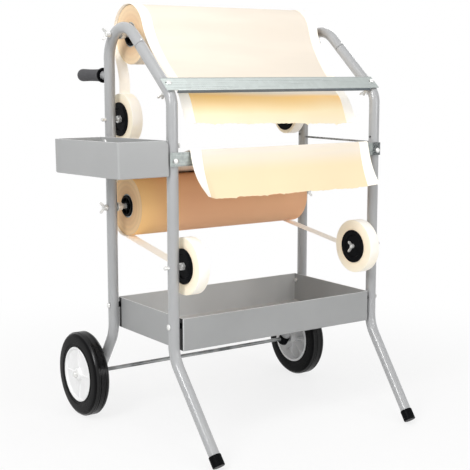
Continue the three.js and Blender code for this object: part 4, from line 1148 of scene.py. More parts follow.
def open_tray(low, high, finish):
    """A folded tray with a small round at its fold and an eased upper edge, painted lighter as a highlight.
    """
    sheet, corner = chosen("trays").sheet, chosen("trays").corner
    fold, edge, sharpest = 0.0035, 0.0005, 0.0008
    layers = [(fold * 2, low.z), (fold * 0.9, low.z), (fold * 0.3, low.z + fold * 0.3), (0, low.z + fold),
              (0, high.z - edge), (edge, high.z), (sheet - edge, high.z), (sheet, high.z - edge),
              (sheet, low.z + sheet + fold), (sheet + fold * 0.3, low.z + sheet + fold * 0.3),
              (sheet + fold, low.z + sheet), (sheet + fold * 2, low.z + sheet)]
    bm = bmesh.new()
    rings = []
    for inset, z in layers:
        ring = corner_ring(low, high, inset, max(corner - inset, sharpest), z)
        rings.append([bm.verts.new(place) for place in ring])
    add_strip(bm, rings)
    bm.faces.new(list(reversed(rings[0])))
    bm.faces.new(rings[-1])
    # Painted highlight: the faces along the upper edge get the lighter paint.
    lit_top = high.z - 0.0007
    return refaced(from_bmesh(bm, finish), slot_finish("tray_edge"), lambda face: face.center.z > lit_top)


def out_from(side, y, z):
    """Places at one depth and height, by how far out they lie on one side."""
    return lambda along: at(side * along, y, z)


def add_bolt(bm, side, y, z, start, nut, head, end, dome):
    """A bolt across a side frame, with its nut inside and its round head outside."""
    place = out_from(side, y, z)
    add_rod(bm, BOLT_RADIUS, place(start), place(end), 20)
    add_nut(bm, NUT_RADIUS, place(nut), -ACROSS * side, NUT_HEIGHT)
    add_dome(bm, HEAD_RADIUS, dome, place(head), ACROSS * side)


def lower_tray():
    low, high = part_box("lower_tray")
    tube_gap, margin, bolt_drop, spacer_radius = 0.0055, 0.001, 0.021, 0.008
    half = HALF_SPACING - chosen("tubes").radius - tube_gap
    tray_low = Vector((MIDDLE_X - half, low.y, low.z))
    tray_high = Vector((MIDDLE_X + half, high.y, high.z))
    # Painted shade: this finish darkens the tray and its walls beside the uprights.
    tray = open_tray(tray_low, tray_high, "tray_pads")

    # Painted light: the inside faces, save the right wall, get the lighter paint in place of the shade there.
    def sheltered(face):
        x, y, z = face.center
        within = tray_low.x + margin < x < tray_high.x - 4 * margin
        within = within and tray_low.y + margin < y < tray_high.y - margin
        return within and tray_low.z + margin < z < tray_high.z - margin

    refaced(tray, slot_finish("tray_inner"), sheltered)
    bolts = bmesh.new()
    spacers = bmesh.new()
    z = high.z - bolt_drop
    nut = half - chosen("trays").sheet
    head, spacer_end = HALF_SPACING + tube_face(), HALF_SPACING - tube_face()
    for side in SIDES.values():
        for y in (0, FRAME_DEPTH):
            place = out_from(side, y, z)
            add_bolt(bolts, side, y, z, nut - 0.006, nut, head, head + 0.001, 0.0042)
            add_rod(spacers, spacer_radius, place(half - 0.0005), place(spacer_end), 32)
    # Painted shade: the spacers are real, and their black stands in for the shade in the slit between tray
    # and tube.
    finished("lower_tray", "sheet", "frame", "tray_paint", evened(tray),
             evened(from_bmesh(bolts, "bright_steel")), evened(from_bmesh(spacers, "black_moulding")))


def side_tray():
    trays = chosen("trays")
    inner = MIDDLE_X - HALF_SPACING - tube_face()
    top = chosen("tubes").shoulder - trays.side_drop
    tray_low = Vector((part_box("side_tray")[0].x, FRONT_Y - trays.side_front, top - trays.side_depth))
    tray_high = Vector((inner, FRONT_Y + FRAME_DEPTH + trays.side_back, top))
    outline = [(0.002, -0.002), (-0.0125, -0.002), (-0.0035, 0.0125), (0.002, 0.0125)]
    plane = axis_frame((inner, tray_low.y, top), BACKWARD, ACROSS)
    notch = from_bmesh(add_plate(bmesh.new(), outline, 0.012, plane))
    tray = drilled(open_tray(tray_low, tray_high, "tray_satin"), notch)
    hinge = Matrix.Translation(at(0, 0, side_stud_height(0)))
    tray.data.transform(hinge @ Matrix.Rotation(-trays.side_tilt, 4, "X") @ hinge.inverted())
    tray = evened(tray)
    bolts = bmesh.new()
    face, wall = HALF_SPACING - tube_face(), HALF_SPACING + tube_face()
    for y in (0, FRAME_DEPTH):
        add_bolt(bolts, -1, y, side_stud_height(y), face - 0.005, face, wall + 0.0012, wall + 0.003, 0.0045)
    finished("side_tray", "sheet", "frame", "tray_paint", tray, evened(from_bmesh(bolts, "bright_steel")))


class DISPENSER_OT_trays(bpy.types.Operator):
    """The lower tray and the side tray with their bolts"""
    bl_idname = "dispenser.trays"
    bl_label = "Trays"

    def execute(self, context):
        lower_tray()
        side_tray()
        return {"FINISHED"}


# ---------------------------------------------------------------------------- cutter bars

def strip_section(start, end, across, thickness, ease):
    """The section of a sheet strip between two section places, with eased corners."""
    corners = [start, end, end + across * thickness, start + across * thickness]
    return eased([corner.yz for corner in corners], ease)


def add_length(bm, section, start_x, end_x, count=36):
    """A section of (y, z) places drawn out along X."""
    rings = []
    for i in range(count + 1):
        x = start_x + (end_x - start_x) * i / count
        rings.append([bm.verts.new((x, place.x, place.y)) for place in section])
    add_strip(bm, rings)
    bm.faces.new(rings[0])
    bm.faces.new(list(reversed(rings[-1])))
    return bm


def folded_bar(level, high, low, outward, slots):
    """A sheet strip, its lower edge turned square back between the tubes, with a slot near each end."""
    node = level + "_cutter_bar"
    finish = level + "_bar_zinc"
    sheet, lip, tube_room, overlap = 0.002, 0.01, 0.002, 0.001
    slot_radius, slot_reach = 0.0045, 0.0055
    up = (high - low).normalized()
    left, right = (corner.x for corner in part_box(node))
    lip_half = HALF_SPACING - chosen("tubes").radius - tube_room
    lip_left, lip_right = MIDDLE_X - lip_half, MIDDLE_X + lip_half
    section = strip_section(high, low + up * sheet, outward, sheet, 0.0005)
    strip = add_length(bmesh.new(), section, left, right)
    turns = [math.tau * i / 24 for i in range(24)]
    outline = [(slot_radius * math.cos(t) + math.copysign(slot_reach, math.cos(t)), slot_radius * math.sin(t))
               for t in turns]
    cutter = bmesh.new()
    for place in slots:
        add_plate(cutter, outline, 0.02, axis_frame(place, outward, ACROSS))
    bar = drilled(from_bmesh(strip, finish), from_bmesh(cutter))
    edge = bmesh.new()
    corner = strip_section(low + up * sheet * 1.2, low, outward, sheet, 0.0004)
    add_length(edge, corner, left, lip_left + overlap, 2)
    add_length(edge, corner, lip_right - overlap, right, 2)
    fold = low + up * sheet
    turns = [math.pi / 2 * i / 5 for i in range(6)]
    bend = [fold] + [fold + (outward * math.cos(t) - up * math.sin(t)) * sheet for t in turns]
    add_length(edge, [place.yz for place in bend], lip_left, lip_right, 1)
    turned_back = strip_section(low, low - outward * lip, up, sheet, 0.0005)
    # Painted shade: the turned-back lip is given a dark zinc, as its underside would lie in shade.
    lip_sheet = from_bmesh(add_length(bmesh.new(), turned_back, lip_left, lip_right), "dull_zinc")
    finished(node, "sheet", "frame", "zinc", evened(joined(bar, from_bmesh(edge, finish), lip_sheet)))


def cutter_bars():
    along, normal = slant_axes()
    rest = tube_face()
    upper_edge, lower_height = 0.006, 0.037
    root = Vector((0, FRONT_Y, chosen("tubes").shoulder)) + normal * rest
    slots = [slant_point(side, UPPER_BAR_BOLT_REACH, rest) for side in SIDES.values()]
    folded_bar("upper", root + along * UPPER_BAR_TOP, root + along * upper_edge, normal, slots)
    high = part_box("lower_cutter_bar")[1].z
    top = Vector((0, FRONT_Y - rest, high))
    slots = [at(side * HALF_SPACING, -rest, high - LOWER_BAR_BOLT_DROP) for side in SIDES.values()]
    folded_bar("lower", top, top - UP * lower_height, -BACKWARD, slots)


# One wing nut's pair of ears, drawn about its axis
EAR = [(0.0052, 0.0), (0.0148, 0.0085), (0.0168, 0.0122), (0.0162, 0.0156), (0.0134, 0.017), (0.0102, 0.0158),
       (0.0072, 0.0118), (0.0042, 0.0074)]
EARS = EAR + [(0.0, 0.0062)] + [(-x, y) for x, y in reversed(EAR)]


def add_wings(bm, base, outward, across, thickness):
    add_plate(bm, EARS, thickness, placed(base, across, outward), 0.0008)


def add_wing_nut(bm, base, outward, across):
    """A wing nut on a bolt that leaves base along outward, with its wings spread along across."""
    boss = [(0, 0.0041), (0, 0.0068), (0.004, 0.0066), (0.008, 0.0054), (0.008, 0.0041)]
    add_turned(bm, eased(boss, 0.0006), axis_frame(base, outward), 28)
    add_wings(bm, base + outward * 0.003, outward, across, 0.0029)


def steel_set(node, bm):
    """A piece of bolts and nuts that is fixed to the frame."""
    finished(node, "set", "frame", "steel", evened(from_bmesh(bm, "bright_steel")))


def clamp_bolt(node, place, outward, across):
    """A round-headed bolt through bar and tube with its wing nut behind the tube."""
    head_radius, head_height, bar_room, tail = 0.0072, 0.0042, 0.0026, 0.02
    head = chosen("tubes").radius + bar_room
    nut = tube_face()
    bm = bmesh.new()
    add_dome(bm, head_radius, head_height, place + outward * head, outward)
    add_rod(bm, BOLT_RADIUS, place + outward * (head + 0.0005), place - outward * (nut + tail), 24)
    add_wing_nut(bm, place - outward * nut, -outward, across)
    steel_set(node, bm)


def side_rod(node):
    radius, reach = 0.003, BACKWARD * size_of(node).y / 2
    rod = add_rod(bmesh.new(), radius, middle_of(node) - reach, middle_of(node) + reach, 20)
    finished(node, "bar", "frame", "steel", evened(from_bmesh(rod, "axle_zinc")))


class DISPENSER_OT_cutter_bars(bpy.types.Operator):
    """Both cutter bars, their wing bolts and the thin side rods"""
    bl_idname = "dispenser.cutter_bars"
    bl_label = "Cutter Bars"

    def execute(self, context):
        cutter_bars()
        normal = slant_axes()[1]
        low_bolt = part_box("lower_cutter_bar")[1].z - LOWER_BAR_BOLT_DROP
        for hand, side in SIDES.items():
            high_place = slant_point(side, UPPER_BAR_BOLT_REACH)
            clamp_bolt("upper_bar_bolt_" + hand, high_place, normal, ACROSS)
            clamp_bolt("lower_bar_bolt_" + hand, at(side * HALF_SPACING, 0, low_bolt), -BACKWARD, UP)
            side_rod("side_rod_" + hand)
        return {"FINISHED"}


# ---------------------------------------------------------------------------- paper rolls

def roll_radius(node):
    return size_of(node).z / 2


def edged(obj, material):
    """Gives the faces that look along the roll's axis their own material."""
    return refaced(obj, material, lambda face: abs(face.normal.x) > 0.75)


def about_middle(node, direction=ACROSS):
    return axis_frame(middle_of(node), direction, UP)


def paper_roll(level, kind):
    """A wound roll: its ends step in and out by a hair, as wound layers do."""
    node = "paper_roll_" + level
    half, radius, bore = size_of(node).x / 2, roll_radius(node), 0.0348
    layers = random.Random(7 if level == "upper" else 11)
    steps, rounding, deepest = 16, 0.0012, 0.0006
    end = []
    for i in range(steps + 1):
        drop = 0.0 if i in (0, steps) else layers.uniform(0.0, deepest)
        end.append((half - drop, bore + (radius - rounding - bore) * i / steps))
    end += [(half - 0.0004, radius - 0.0004), (half - 0.0014, radius)]
    roll = smoothed(turned(both_ways(end), about_middle(node), 128, kind + "_face"))
    finished(node, "winding", level + "_paper", kind + "_paper", edged(roll, slot_finish(kind + "_edge")))


def paper_core(level):
    node = "paper_core_" + level
    half = size_of(node).x / 2
    profile = [(-half, 0.031), (-half, 0.0345), (half, 0.0345), (half, 0.031)]
    core = evened(turned(eased(profile, 0.0005), about_middle(node), 64, "core_print"))
    finished(node, "board", level + "_paper", "core_board", edged(core, slot_finish("core_end")))


def roll_plug(level, hand, side):
    """A stepped plug in the core's end, with ribs round its boss."""
    node = "roll_plug_" + level + "_" + hand
    low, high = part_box(node)
    centre = middle_of("paper_roll_" + level)
    outward = ACROSS * side
    flange, bore = 0.005, 0.0075
    start = Vector(((high if side > 0 else low).x - side * flange, centre.y, centre.z))
    profile = [(-0.038, bore), (-0.038, 0.0257), (-0.033, 0.0307), (0.0, 0.0307), (0.0, 0.0313),
               (0.0035, 0.0313), (flange, 0.0295), (0.0044, 0.0245), (-0.004, 0.0225), (-0.004, 0.0135),
               (flange, 0.0115), (flange, bore)]
    plug = evened(turned(eased(profile, 0.0008), axis_frame(start, outward, UP), 64, "black_moulding"))
    outline = [(-0.007, -0.004), (0.007, -0.004), (0.007, 0.0045), (-0.007, 0.0045)]
    plane = placed(start - outward * 0.001 + UP * 0.018, UP, outward)
    ribs = ringed(add_plate(bmesh.new(), outline, 0.002, plane, 0.0003), 6, start, outward, "black_moulding")
    finished(node, "moulding", level + "_paper", "black_plastic", plug, evened(ribs))


def roll_spindle(level, hand, side):
    """A stub spindle through the tube: collar and lock ring inside, wing screw outside."""
    roll = "paper_roll_" + level
    place = out_from(side, middle_of(roll).y - FRONT_Y, middle_of(roll).z)
    outward = ACROSS * side
    inner, outer = HALF_SPACING - tube_face(), HALF_SPACING + tube_face()
    radius, into_core, past_tube = 0.007, 0.026, 0.024
    nut_radius, nut_height, nut_room = 0.0122, 0.0085, 0.0155
    ring_bore, ring_radius, ring_width, ring_room = 0.0071, 0.013, 0.0065, 0.0067
    wing_lift, wing_sheet = 0.007, 0.003
    bm = bmesh.new()
    core_end = size_of(roll).x / 2
    add_rod(bm, radius, place(core_end - into_core), place(HALF_SPACING + past_tube), 32, 0.001)
    add_nut(bm, nut_radius, place(inner - nut_room), outward, nut_height)
    knob = [(0, 0), (0, 0.0092), (0.004, 0.0092), (0.013, 0.0078), (0.013, 0.0)]
    add_turned(bm, eased(knob, 0.0008, closed=False), axis_frame(place(outer), outward, UP), 32)
    add_wings(bm, place(outer + wing_lift), outward, UP, wing_sheet)
    ring = [(0, ring_bore), (0, ring_radius), (ring_width, ring_radius), (ring_width, ring_bore)]
    add_turned(bm, eased(ring, 0.0006), axis_frame(place(inner - ring_room), outward, UP), 40)
    steel_set("roll_spindle_" + level + "_" + hand, bm)


class DISPENSER_OT_paper_rolls(bpy.types.Operator):
    """Paper rolls, cores, end plugs and spindles"""
    bl_idname = "dispenser.paper_rolls"
    bl_label = "Paper Rolls"

    def execute(self, context):
        # Painted shade: the lower roll is dressed in the darker, warmer tone of the same cream paper.
        for level, kind in zip(LEVELS, ("cream", "kraft")):
            paper_roll(level, kind)
            paper_core(level)
            for hand, side in SIDES.items():
                roll_plug(level, hand, side)
                roll_spindle(level, hand, side)
        return {"FINISHED"}


# ---------------------------------------------------------------------------- tape rolls

def tape_roll(place_name, seed):
    node = "tape_roll_" + place_name
    half, radius, bore = size_of(node).x / 2, roll_radius(node), 0.0381
    layers = random.Random(seed)
    steps, rounding, deepest = 14, 0.0014, 0.0004
    end = [(half, bore)]
    for i in range(1, steps):
        end.append((half - layers.uniform(0.0, deepest), bore + (radius - rounding - bore) * i / steps))
    end += [(half - 0.0001, radius - 0.0012), (half - 0.0005, radius - 0.0003), (half - 0.0015, radius)]
    # Painted light: the roll's end glows by emission at strength 0.1.
    edge = wound_edge("edge_" + node, shade(255, 246, 226), node, 0.0011, 0.015, shade(252, 226, 190), 0.1)
    roll = edged(smoothed(turned(both_ways(end), about_middle(node), 112, "tape_face")), edge.material)
    finished(node, "winding", place_name + "_tape", "tape_paper", roll)


def tape_hub(place_name, side):
    """Two flanges with raised rims on a shallow dished drum."""
    node = "tape_hub_" + place_name
    half = size_of(node).x / 2
    outer_side = [(half - HUB_DISH, 0.0055), (half - HUB_DISH, 0.0315), (half - 0.0012, 0.0335),
                  (half - 0.0012, 0.0458), (half, 0.0465), (half, 0.0485), (half - 0.003, 0.0485),
                  (half - 0.003, 0.0377)]
    frame_matrix = about_middle(node, ACROSS * side)
    hub = evened(turned(eased(both_ways(outer_side), 0.0006), frame_matrix, 72, "black_moulding"))
    finished(node, "moulding", place_name + "_tape", "black_plastic", hub)


def tape_spindle(place_name, side):
    """A bolt through the upright: lock nut outside the hub, wing nut inside it."""
    centre = middle_of("tape_roll_" + place_name)
    place = out_from(side, centre.y - FRONT_Y, centre.z)
    middle = (centre.x - MIDDLE_X) * side
    face = size_of("tape_hub_" + place_name).x / 2 - HUB_DISH + SEAT
    radius, past_wings, past_tube, ease = 0.005, 0.0083, 0.013, 0.0012
    lock_radius, lock_height = 0.0112, 0.009
    tip = HALF_SPACING + chosen("tubes").radius + past_tube
    bm = bmesh.new()
    add_rod(bm, radius, place(middle - face - past_wings), place(tip), 28, ease)
    add_wing_nut(bm, place(middle - face), -ACROSS * side, UP)
    add_nut(bm, lock_radius, place(middle + face), ACROSS * side, lock_height)
    steel_set("tape_spindle_" + place_name, bm)


class DISPENSER_OT_tape_rolls(bpy.types.Operator):
    """Tape rolls, their hubs and spindles"""
    bl_idname = "dispenser.tape_rolls"
    bl_label = "Tape Rolls"

    def execute(self, context):
        for seed, place_name in enumerate(level + "_" + hand for level in LEVELS for hand in SIDES):
            side = SIDES[place_name.split("_")[1]]
            tape_roll(place_name, seed + 3)
            tape_hub(place_name, side)
            tape_spindle(place_name, side)
        return {"FINISHED"}


# ---------------------------------------------------------------------------- sheets and strips

# Edges of the strips and of the paper, and how far paper lies off its roll and a strip off the paper
STRIP_INNER = 0.274
STRIP_OUTER = 0.308
HALF_PAPER = 0.3
PAPER_LIFT = 0.0014
STRIP_LIFT = 0.00095


def row(y, z, heading_y, heading_z):
    """A place on the paper's path, and the direction away from the roll."""
    size = math.hypot(heading_y, heading_z)
    return (y, z, heading_z / size, -heading_y / size)


def wrapped(centre_y, centre_z, radius, start, end, step=math.radians(4)):
    """Rows round an arc."""
    count = math.ceil((end - start) / step)
    turns = [start + (end - start) * i / count for i in range(count + 1)]
    return [row(centre_y + radius * math.cos(t), centre_z + radius * math.sin(t), -math.sin(t), math.cos(t))
            for t in turns]


def curved(start, start_pull, end_pull, end):
    """Rows along a smooth curve from one place to another."""
    steps = 26
    corners = (start, start_pull, end_pull, end)
    rows = []
    for i in range(1, steps + 1):
        t = i / steps
        u = 1 - t
        weights = (u ** 3, 3 * u * u * t, 3 * u * t * t, t ** 3)
        slopes = (-3 * u * u, 3 * u * u - 6 * u * t, 6 * u * t - 3 * t * t, 3 * t * t)
        rows.append(row(*(sum(share * corner[k] for share, corner in zip(shares, corners))
                          for shares in (weights, slopes) for k in (0, 1))))
    return rows


def onward(place, distance, turn):
    return (place[0] + distance * math.cos(turn), place[1] + distance * math.sin(turn))


def roll_place(level):
    """Axis and paper path radius of a roll, from the front uprights and the floor."""
    node = "paper_roll_" + level
    centre = middle_of(node)
    return centre.y - FRONT_Y, centre.z, roll_radius(node) + PAPER_LIFT


def upper_path():
    """Over the roll, under the upper bar and down behind it."""
    y, z, radius = roll_place("upper")
    last = math.radians(163)
    rows = wrapped(y, z, radius, math.radians(-5), last)
    guide = (0.066, chosen("tubes").shoulder + 0.0075)
    back, drop, roll_pull, bar_pull, fall_pull = 0.044, 0.087, 0.072, 0.07, 0.029
    end = (guide[0] - back, guide[1] - drop)
    slope = math.radians(218)
    hang = math.atan2(-drop, -back)
    off_roll = onward(rows[-1], roll_pull, last + math.pi / 2)
    run = curved(rows[-1], off_roll, onward(guide, -bar_pull, slope), guide)
    fall = curved(guide, onward(guide, fall_pull, slope), onward(end, -fall_pull, hang), end)
    return rows + run + fall, len(rows) + len(run), len(rows)


def lower_path():
    """Over the back of the roll, up to the lower bar, over its edge and down in front."""
    y, z, radius = roll_place("lower")
    crest = (-0.0168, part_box("lower_cutter_bar")[1].z)
    crest_radius, front, drop, fall_pull = 0.004, 0.04, 0.124, 0.05
    across = (crest[0] - y, crest[1] - z)
    leave = math.atan2(across[1], across[0]) - math.acos((radius - crest_radius) / math.hypot(*across))
    rows = wrapped(y, z, radius, math.radians(-88), leave)
    slope = math.radians(12)
    over = wrapped(*crest, crest_radius, leave, math.pi - slope, math.radians(10))
    last, steps = rows[-1], 20
    rise = [over[0][k] - last[k] for k in (0, 1)]
    run = [row(last[0] + rise[0] * i / steps, last[1] + rise[1] * i / steps, *rise) for i in range(1, steps)]
    end = (over[-1][0] - front, over[-1][1] - drop)
    end_pull = (end[0] + front / 2, end[1] + drop / 3)
    fall = curved(over[-1], onward(over[-1], fall_pull, -math.pi / 2 - slope), end_pull, end)
    settled = len(rows) + len(run) + len(over)
    return rows + run + over + fall, settled, settled


# Each sheet's path, how far its corners curl, how far it hangs askew, and where its torn edge has long fibres
SHEETS = {
    "upper": {"path": upper_path, "left": 0.004, "right": 0.014, "skew": 0.019, "nibs": (-0.21, 0.12, 0.235)},
    "lower": {"path": lower_path, "left": 0.042, "right": 0.016, "skew": 0.0, "nibs": (-0.19, -0.085, -0.03)},
}


def sheet_lift(sheet, count, free_from, settle_from, index, x):
    """How far the free end stands off its path: curled corners, a slight skew and soft waves."""
    corner, settling = 0.06, 26
    hang = max(0, index - free_from + 1) / (count - free_from)
    settle = min(1.0, max(0, index - settle_from + 1) / settling)
    edge = max(0.0, abs(x) - (STRIP_OUTER - corner)) / corner
    curl = (sheet["left"] if x < 0 else sheet["right"]) * hang ** 2 * edge ** 2
    wave = chosen("sheets").ripple * hang * (math.sin(x * 21 + 0.6) + 0.6 * math.sin(x * 47 + 2.1))
    return curl - sheet["skew"] * settle * x / HALF_PAPER + wave


def torn(level, x):
    """Depth of the torn edge's teeth at x."""
    phase, nib_width = 0.4 if level == "upper" else 1.7, 0.0045
    fine = math.sin(x * 910 + phase) * 0.45 + math.sin(x * 2310 + phase * 3) * 0.25
    slow = math.sin(x * 57 + phase) * 0.8 + math.sin(x * 133 + 2 * phase) * 0.5
    nibs = sum(math.exp(-((x - place) / nib_width) ** 2) for place in SHEETS[level]["nibs"])
    return chosen("sheets").tear * (fine + slow + 4 * nibs)


def paper_grid(grid, thickness, finish, hang):
    """A thin closed sheet over a grid of (place, away) pairs, with its hang stored on each point."""
    bm = bmesh.new()
    layers = []
    for lift in (-thickness / 2, thickness / 2):
        layers.append([[bm.verts.new(place + away * lift) for place, away in line] for line in grid])
        add_strip(bm, layers[-1], closed=False)
    depth, width = len(grid), len(grid[0])
    rim = [(0, k) for k in range(width)] + [(i, width - 1) for i in range(1, depth)]
    rim += [(depth - 1, k) for k in range(width - 2, -1, -1)] + [(i, 0) for i in range(depth - 2, 0, -1)]
    edges = [[layer[i][k] for i, k in rim] for layer in layers]
    add_strip(bm, edges)
    sheet = smoothed(from_bmesh(bm, finish), 60)
    values = [value for _ in layers for value, line in zip(hang, grid) for _ in line]
    sheet.data.attributes.new("hang", "FLOAT", "POINT").data.foreach_set("value", values)
    return sheet


def path_lengths(rows, start):
    """Distance of each row along the path, from row start."""
    along = [0.0]
    for a, b in zip(rows, rows[1:]):
        along.append(along[-1] + math.hypot(b[0] - a[0], b[1] - a[1]))
    return [value - along[start] for value in along]


def hung_sheet(node, suffix, level, columns, thickness, looks, web=(), step=0.0, above=0.0):
    """A sheet along its level's path. A strip first comes over web, rows that start sideways by step."""
    rows, free_from, settle_from = SHEETS[level]["path"]()
    path = [*web, *rows]
    grid = []
    for index, (y, z, out_y, out_z) in enumerate(path):
        on_path = index - len(web)
        line = []
        for column in columns:
            x, lift = column, 0.0
            if on_path < 0:
                x += step * (1 - index / len(web))
            else:
                lift = above + sheet_lift(SHEETS[level], len(rows), free_from, settle_from, on_path, x)
            place = at(x, y + out_y * lift, z + out_z * lift)
            if index == len(path) - 1:
                place += Vector((0, -out_z, out_y)) * torn(level, x)
            line.append((place, Vector((0, out_y, out_z))))
        grid.append(line)
    hang = path_lengths(path, len(web) + free_from)
    finish, slot = looks
    sheet = finished(node, suffix, "frame", slot, paper_grid(grid, thickness, finish, hang))


def paper_sheet(level):
    steps = 120
    columns = [-HALF_PAPER + 2 * HALF_PAPER * i / steps for i in range(steps + 1)]
    hung_sheet("paper_sheet_" + level, "paper", level, columns, chosen("sheets").paper,
               (level + "_sheet", "cream_paper"))


def web_rows(level, roll, first):
    """The tape's way from its roll to the paper roll."""
    centre = middle_of(roll)
    y, z = centre.y - FRONT_Y, centre.z
    peel, pull = 0.0008, 0.075
    end = (first[0] + first[2] * STRIP_LIFT, first[1] + first[3] * STRIP_LIFT)
    reach = roll_radius(roll) + peel
    if level == "upper":
        start = (y, z + reach)
        rows = [row(*start, 0, 1)]
        pulls = onward(start, pull, math.pi / 2), onward(end, -pull, math.radians(85))
    else:
        slope = math.radians(9)
        start = (y + reach, z)
        rows = [row(*start, math.cos(slope), math.sin(slope))]
        pull = (end[0] - start[0]) / 3
        pulls = onward(start, pull, slope), onward(end, -pull, slope)
    return rows + curved(start, *pulls, end)[:-1]


def tape_strip(level, hand, side):
    roll = "tape_roll_" + level + "_" + hand
    web = web_rows(level, roll, SHEETS[level]["path"]()[0][0])
    step = middle_of(roll).x - MIDDLE_X - side * (STRIP_INNER + STRIP_OUTER) / 2
    steps = 12
    columns = [side * (STRIP_INNER + (STRIP_OUTER - STRIP_INNER) * i / steps) for i in range(steps + 1)]
    hung_sheet("tape_strip_" + level + "_" + hand, "tape", level, columns, chosen("sheets").tape,
               ("tape_strip", "tape_paper"), web, step, STRIP_LIFT)


class DISPENSER_OT_paper_sheets(bpy.types.Operator):
    """The drawn paper sheets and the tape strips along their edges"""
    bl_idname = "dispenser.paper_sheets"
    bl_label = "Paper Sheets"

    def execute(self, context):
        for level in LEVELS:
            paper_sheet(level)
            for hand, side in SIDES.items():
                tape_strip(level, hand, side)
        return {"FINISHED"}


# ---------------------------------------------------------------------------- stage

# Each lamp's place, what it points at, its width and height, and its power
LAMPS = {
    "overhead": ((-0.8, -1.0, 3.1), (0, 0, 0.6), (2.0, 1.6), 20),
    "key": ((-2.6, -1.2, 2.4), (0, 0, 0.9), (1.0, 1.6), 46),
    "front": ((0.9, -3.4, 1.2), (0, 0, 0.5), (1.4, 1.2), 17),
    "rim": ((2.4, 1.8, 2.2), (0, 0, 0.7), (1.0, 1.2), 12),
    "left strip": ((-2.85, -0.93, 2.1), (0, 0, 0.9), (0.05, 1.8), 5),
    "right strip": ((-0.75, -2.95, 2.1), (0, 0, 0.9), (0.05, 1.8), 5),
    "wheel strip": ((1.0, -2.6, 1.7), (0, 0.2, 0.3), (0.05, 1.2), 4),
}


def seen_directly(tree):
    """A factor that is 1 for camera, glossy and transmission rays."""
    rays = add_node(tree, "ShaderNodeLightPath").outputs
    total = rays["Is Camera Ray"]
    for label in ("Is Glossy Ray", "Is Transmission Ray"):
        inputs = {0: total, 1: rays[label]}
        total = add_node(tree, "ShaderNodeMath", inputs, operation="MAXIMUM").outputs["Value"]
    return total


def stage_world():
    """A white backdrop that lights the stand less than it shows."""
    world = bpy.data.worlds.new("studio")
    world.use_nodes = True
    bpy.context.scene.world = world
    tree = world.node_tree
    tree.nodes.clear()
    inputs = {"Fac": seen_directly(tree)}
    for index, strength in ((1, 0.45), (2, 1.0)):
        light = add_node(tree, "ShaderNodeBackground", {"Color": (1, 1, 1), "Strength": strength})
        inputs[index] = light.outputs[0]
    mix = add_node(tree, "ShaderNodeMixShader", inputs)
    add_node(tree, "ShaderNodeOutputWorld", {"Surface": mix.outputs[0]})


def stage_floor():
    """A pale floor that keeps the shadow near the stand and fades to white away from it."""
    finish = Finish("floor_white", (0.9, 0.9, 0.9), 0.9)
    finish.give("Base Color", finish.base)
    glow = finish.node("ShaderNodeEmission", {"Color": (1, 1, 1)}).outputs[0]
    distance = finish.node("ShaderNodeVectorMath", {0: finish.coords}, operation="LENGTH").outputs["Value"]
    fade = finish.between(distance, 0.5, 1.9, 0.8, 1.0)
    white = finish.math("MULTIPLY", fade, seen_directly(finish.tree))
    mix = finish.node("ShaderNodeMixShader", {"Fac": white, 1: finish.shader.outputs[0], 2: glow})
    feed(finish.tree, finish.tree.nodes["Material Output"].inputs["Surface"], mix.outputs[0])
    bm = bmesh.new()
    bmesh.ops.create_grid(bm, x_segments=4, y_segments=4, size=9)
    floor = from_bmesh(bm)
    floor.name = "floor"
    floor.data.materials.append(finish.material)
    for face in floor.data.polygons:
        if face.normal.z < 0:
            face.flip()


def area_light(name, place, target, size, power):
    lamp = bpy.data.lights.new(name, "AREA")
    lamp.shape = "RECTANGLE"
    lamp.size, lamp.size_y = size
    lamp.energy = power
    obj = bpy.data.objects.new(name, lamp)
    obj.location = place
    obj.rotation_euler = (Vector(target) - Vector(place)).to_track_quat("-Z", "Y").to_euler()
    bpy.context.scene.collection.objects.link(obj)


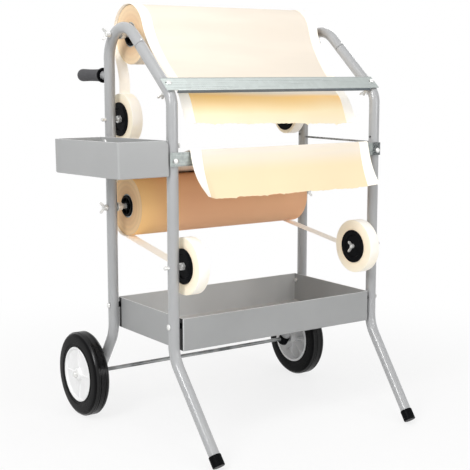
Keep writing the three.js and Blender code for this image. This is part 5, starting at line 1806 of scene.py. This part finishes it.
class DISPENSER_OT_stage(bpy.types.Operator):
    """Camera, floor, world and studio lights"""
    bl_idname = "dispenser.stage"
    bl_label = "Studio Stage"

    def execute(self, context):
        scene = context.scene
        camera = bpy.data.objects.new("camera", bpy.data.cameras.new("camera"))
        scene.collection.objects.link(camera)
        camera.location = at(-1.83881, -2.42827, 1.02393)
        camera.rotation_euler = (math.radians(90 - 8.93), 0, math.radians(-34.69))
        camera.data.lens = 83.5
        camera.data.sensor_width = 36
        camera.data.shift_x = 0.0045
        camera.data.shift_y = 0.013
        scene.camera = camera
        scene.view_settings.view_transform = "Standard"
        stage_world()
        stage_floor()
        for name, lamp in LAMPS.items():
            area_light(name, *lamp)
        return {"FINISHED"}


# ---------------------------------------------------------------------------- panel and running

OPERATORS = (
    DISPENSER_OT_stage,
    DISPENSER_OT_side_frames,
    DISPENSER_OT_tube_caps,
    DISPENSER_OT_grips,
    DISPENSER_OT_wheels,
    DISPENSER_OT_trays,
    DISPENSER_OT_cutter_bars,
    DISPENSER_OT_paper_rolls,
    DISPENSER_OT_tape_rolls,
    DISPENSER_OT_paper_sheets,
)


class DISPENSER_PT_pieces(bpy.types.Panel):
    """Pieces of the dispenser, with their sizes and colours"""
    bl_idname = "DISPENSER_PT_pieces"
    bl_label = "Masking Paper Dispenser"
    bl_space_type = "VIEW_3D"
    bl_region_type = "UI"
    bl_category = "Dispenser"

    def draw(self, context):
        for operator in OPERATORS:
            self.layout.operator(operator.bl_idname)
        for key, group in GROUPS.items():
            box = self.layout.box()
            for label in group.__annotations__:
                box.prop(chosen(key), label)


def register():
    for key, group in GROUPS.items():
        bpy.utils.register_class(group)
        setattr(bpy.types.Scene, "dispenser_" + key, PointerProperty(type=group))
    for shown in (*OPERATORS, DISPENSER_PT_pieces):
        bpy.utils.register_class(shown)


def unregister():
    for shown in (DISPENSER_PT_pieces, *reversed(OPERATORS)):
        bpy.utils.unregister_class(shown)
    for key, group in GROUPS.items():
        delattr(bpy.types.Scene, "dispenser_" + key)
        bpy.utils.unregister_class(group)


def main():
    register()
    for operator in OPERATORS:
        prefix, name = operator.bl_idname.split(".")
        getattr(getattr(bpy.ops, prefix), name)()


if __name__ == "__main__":
    main()
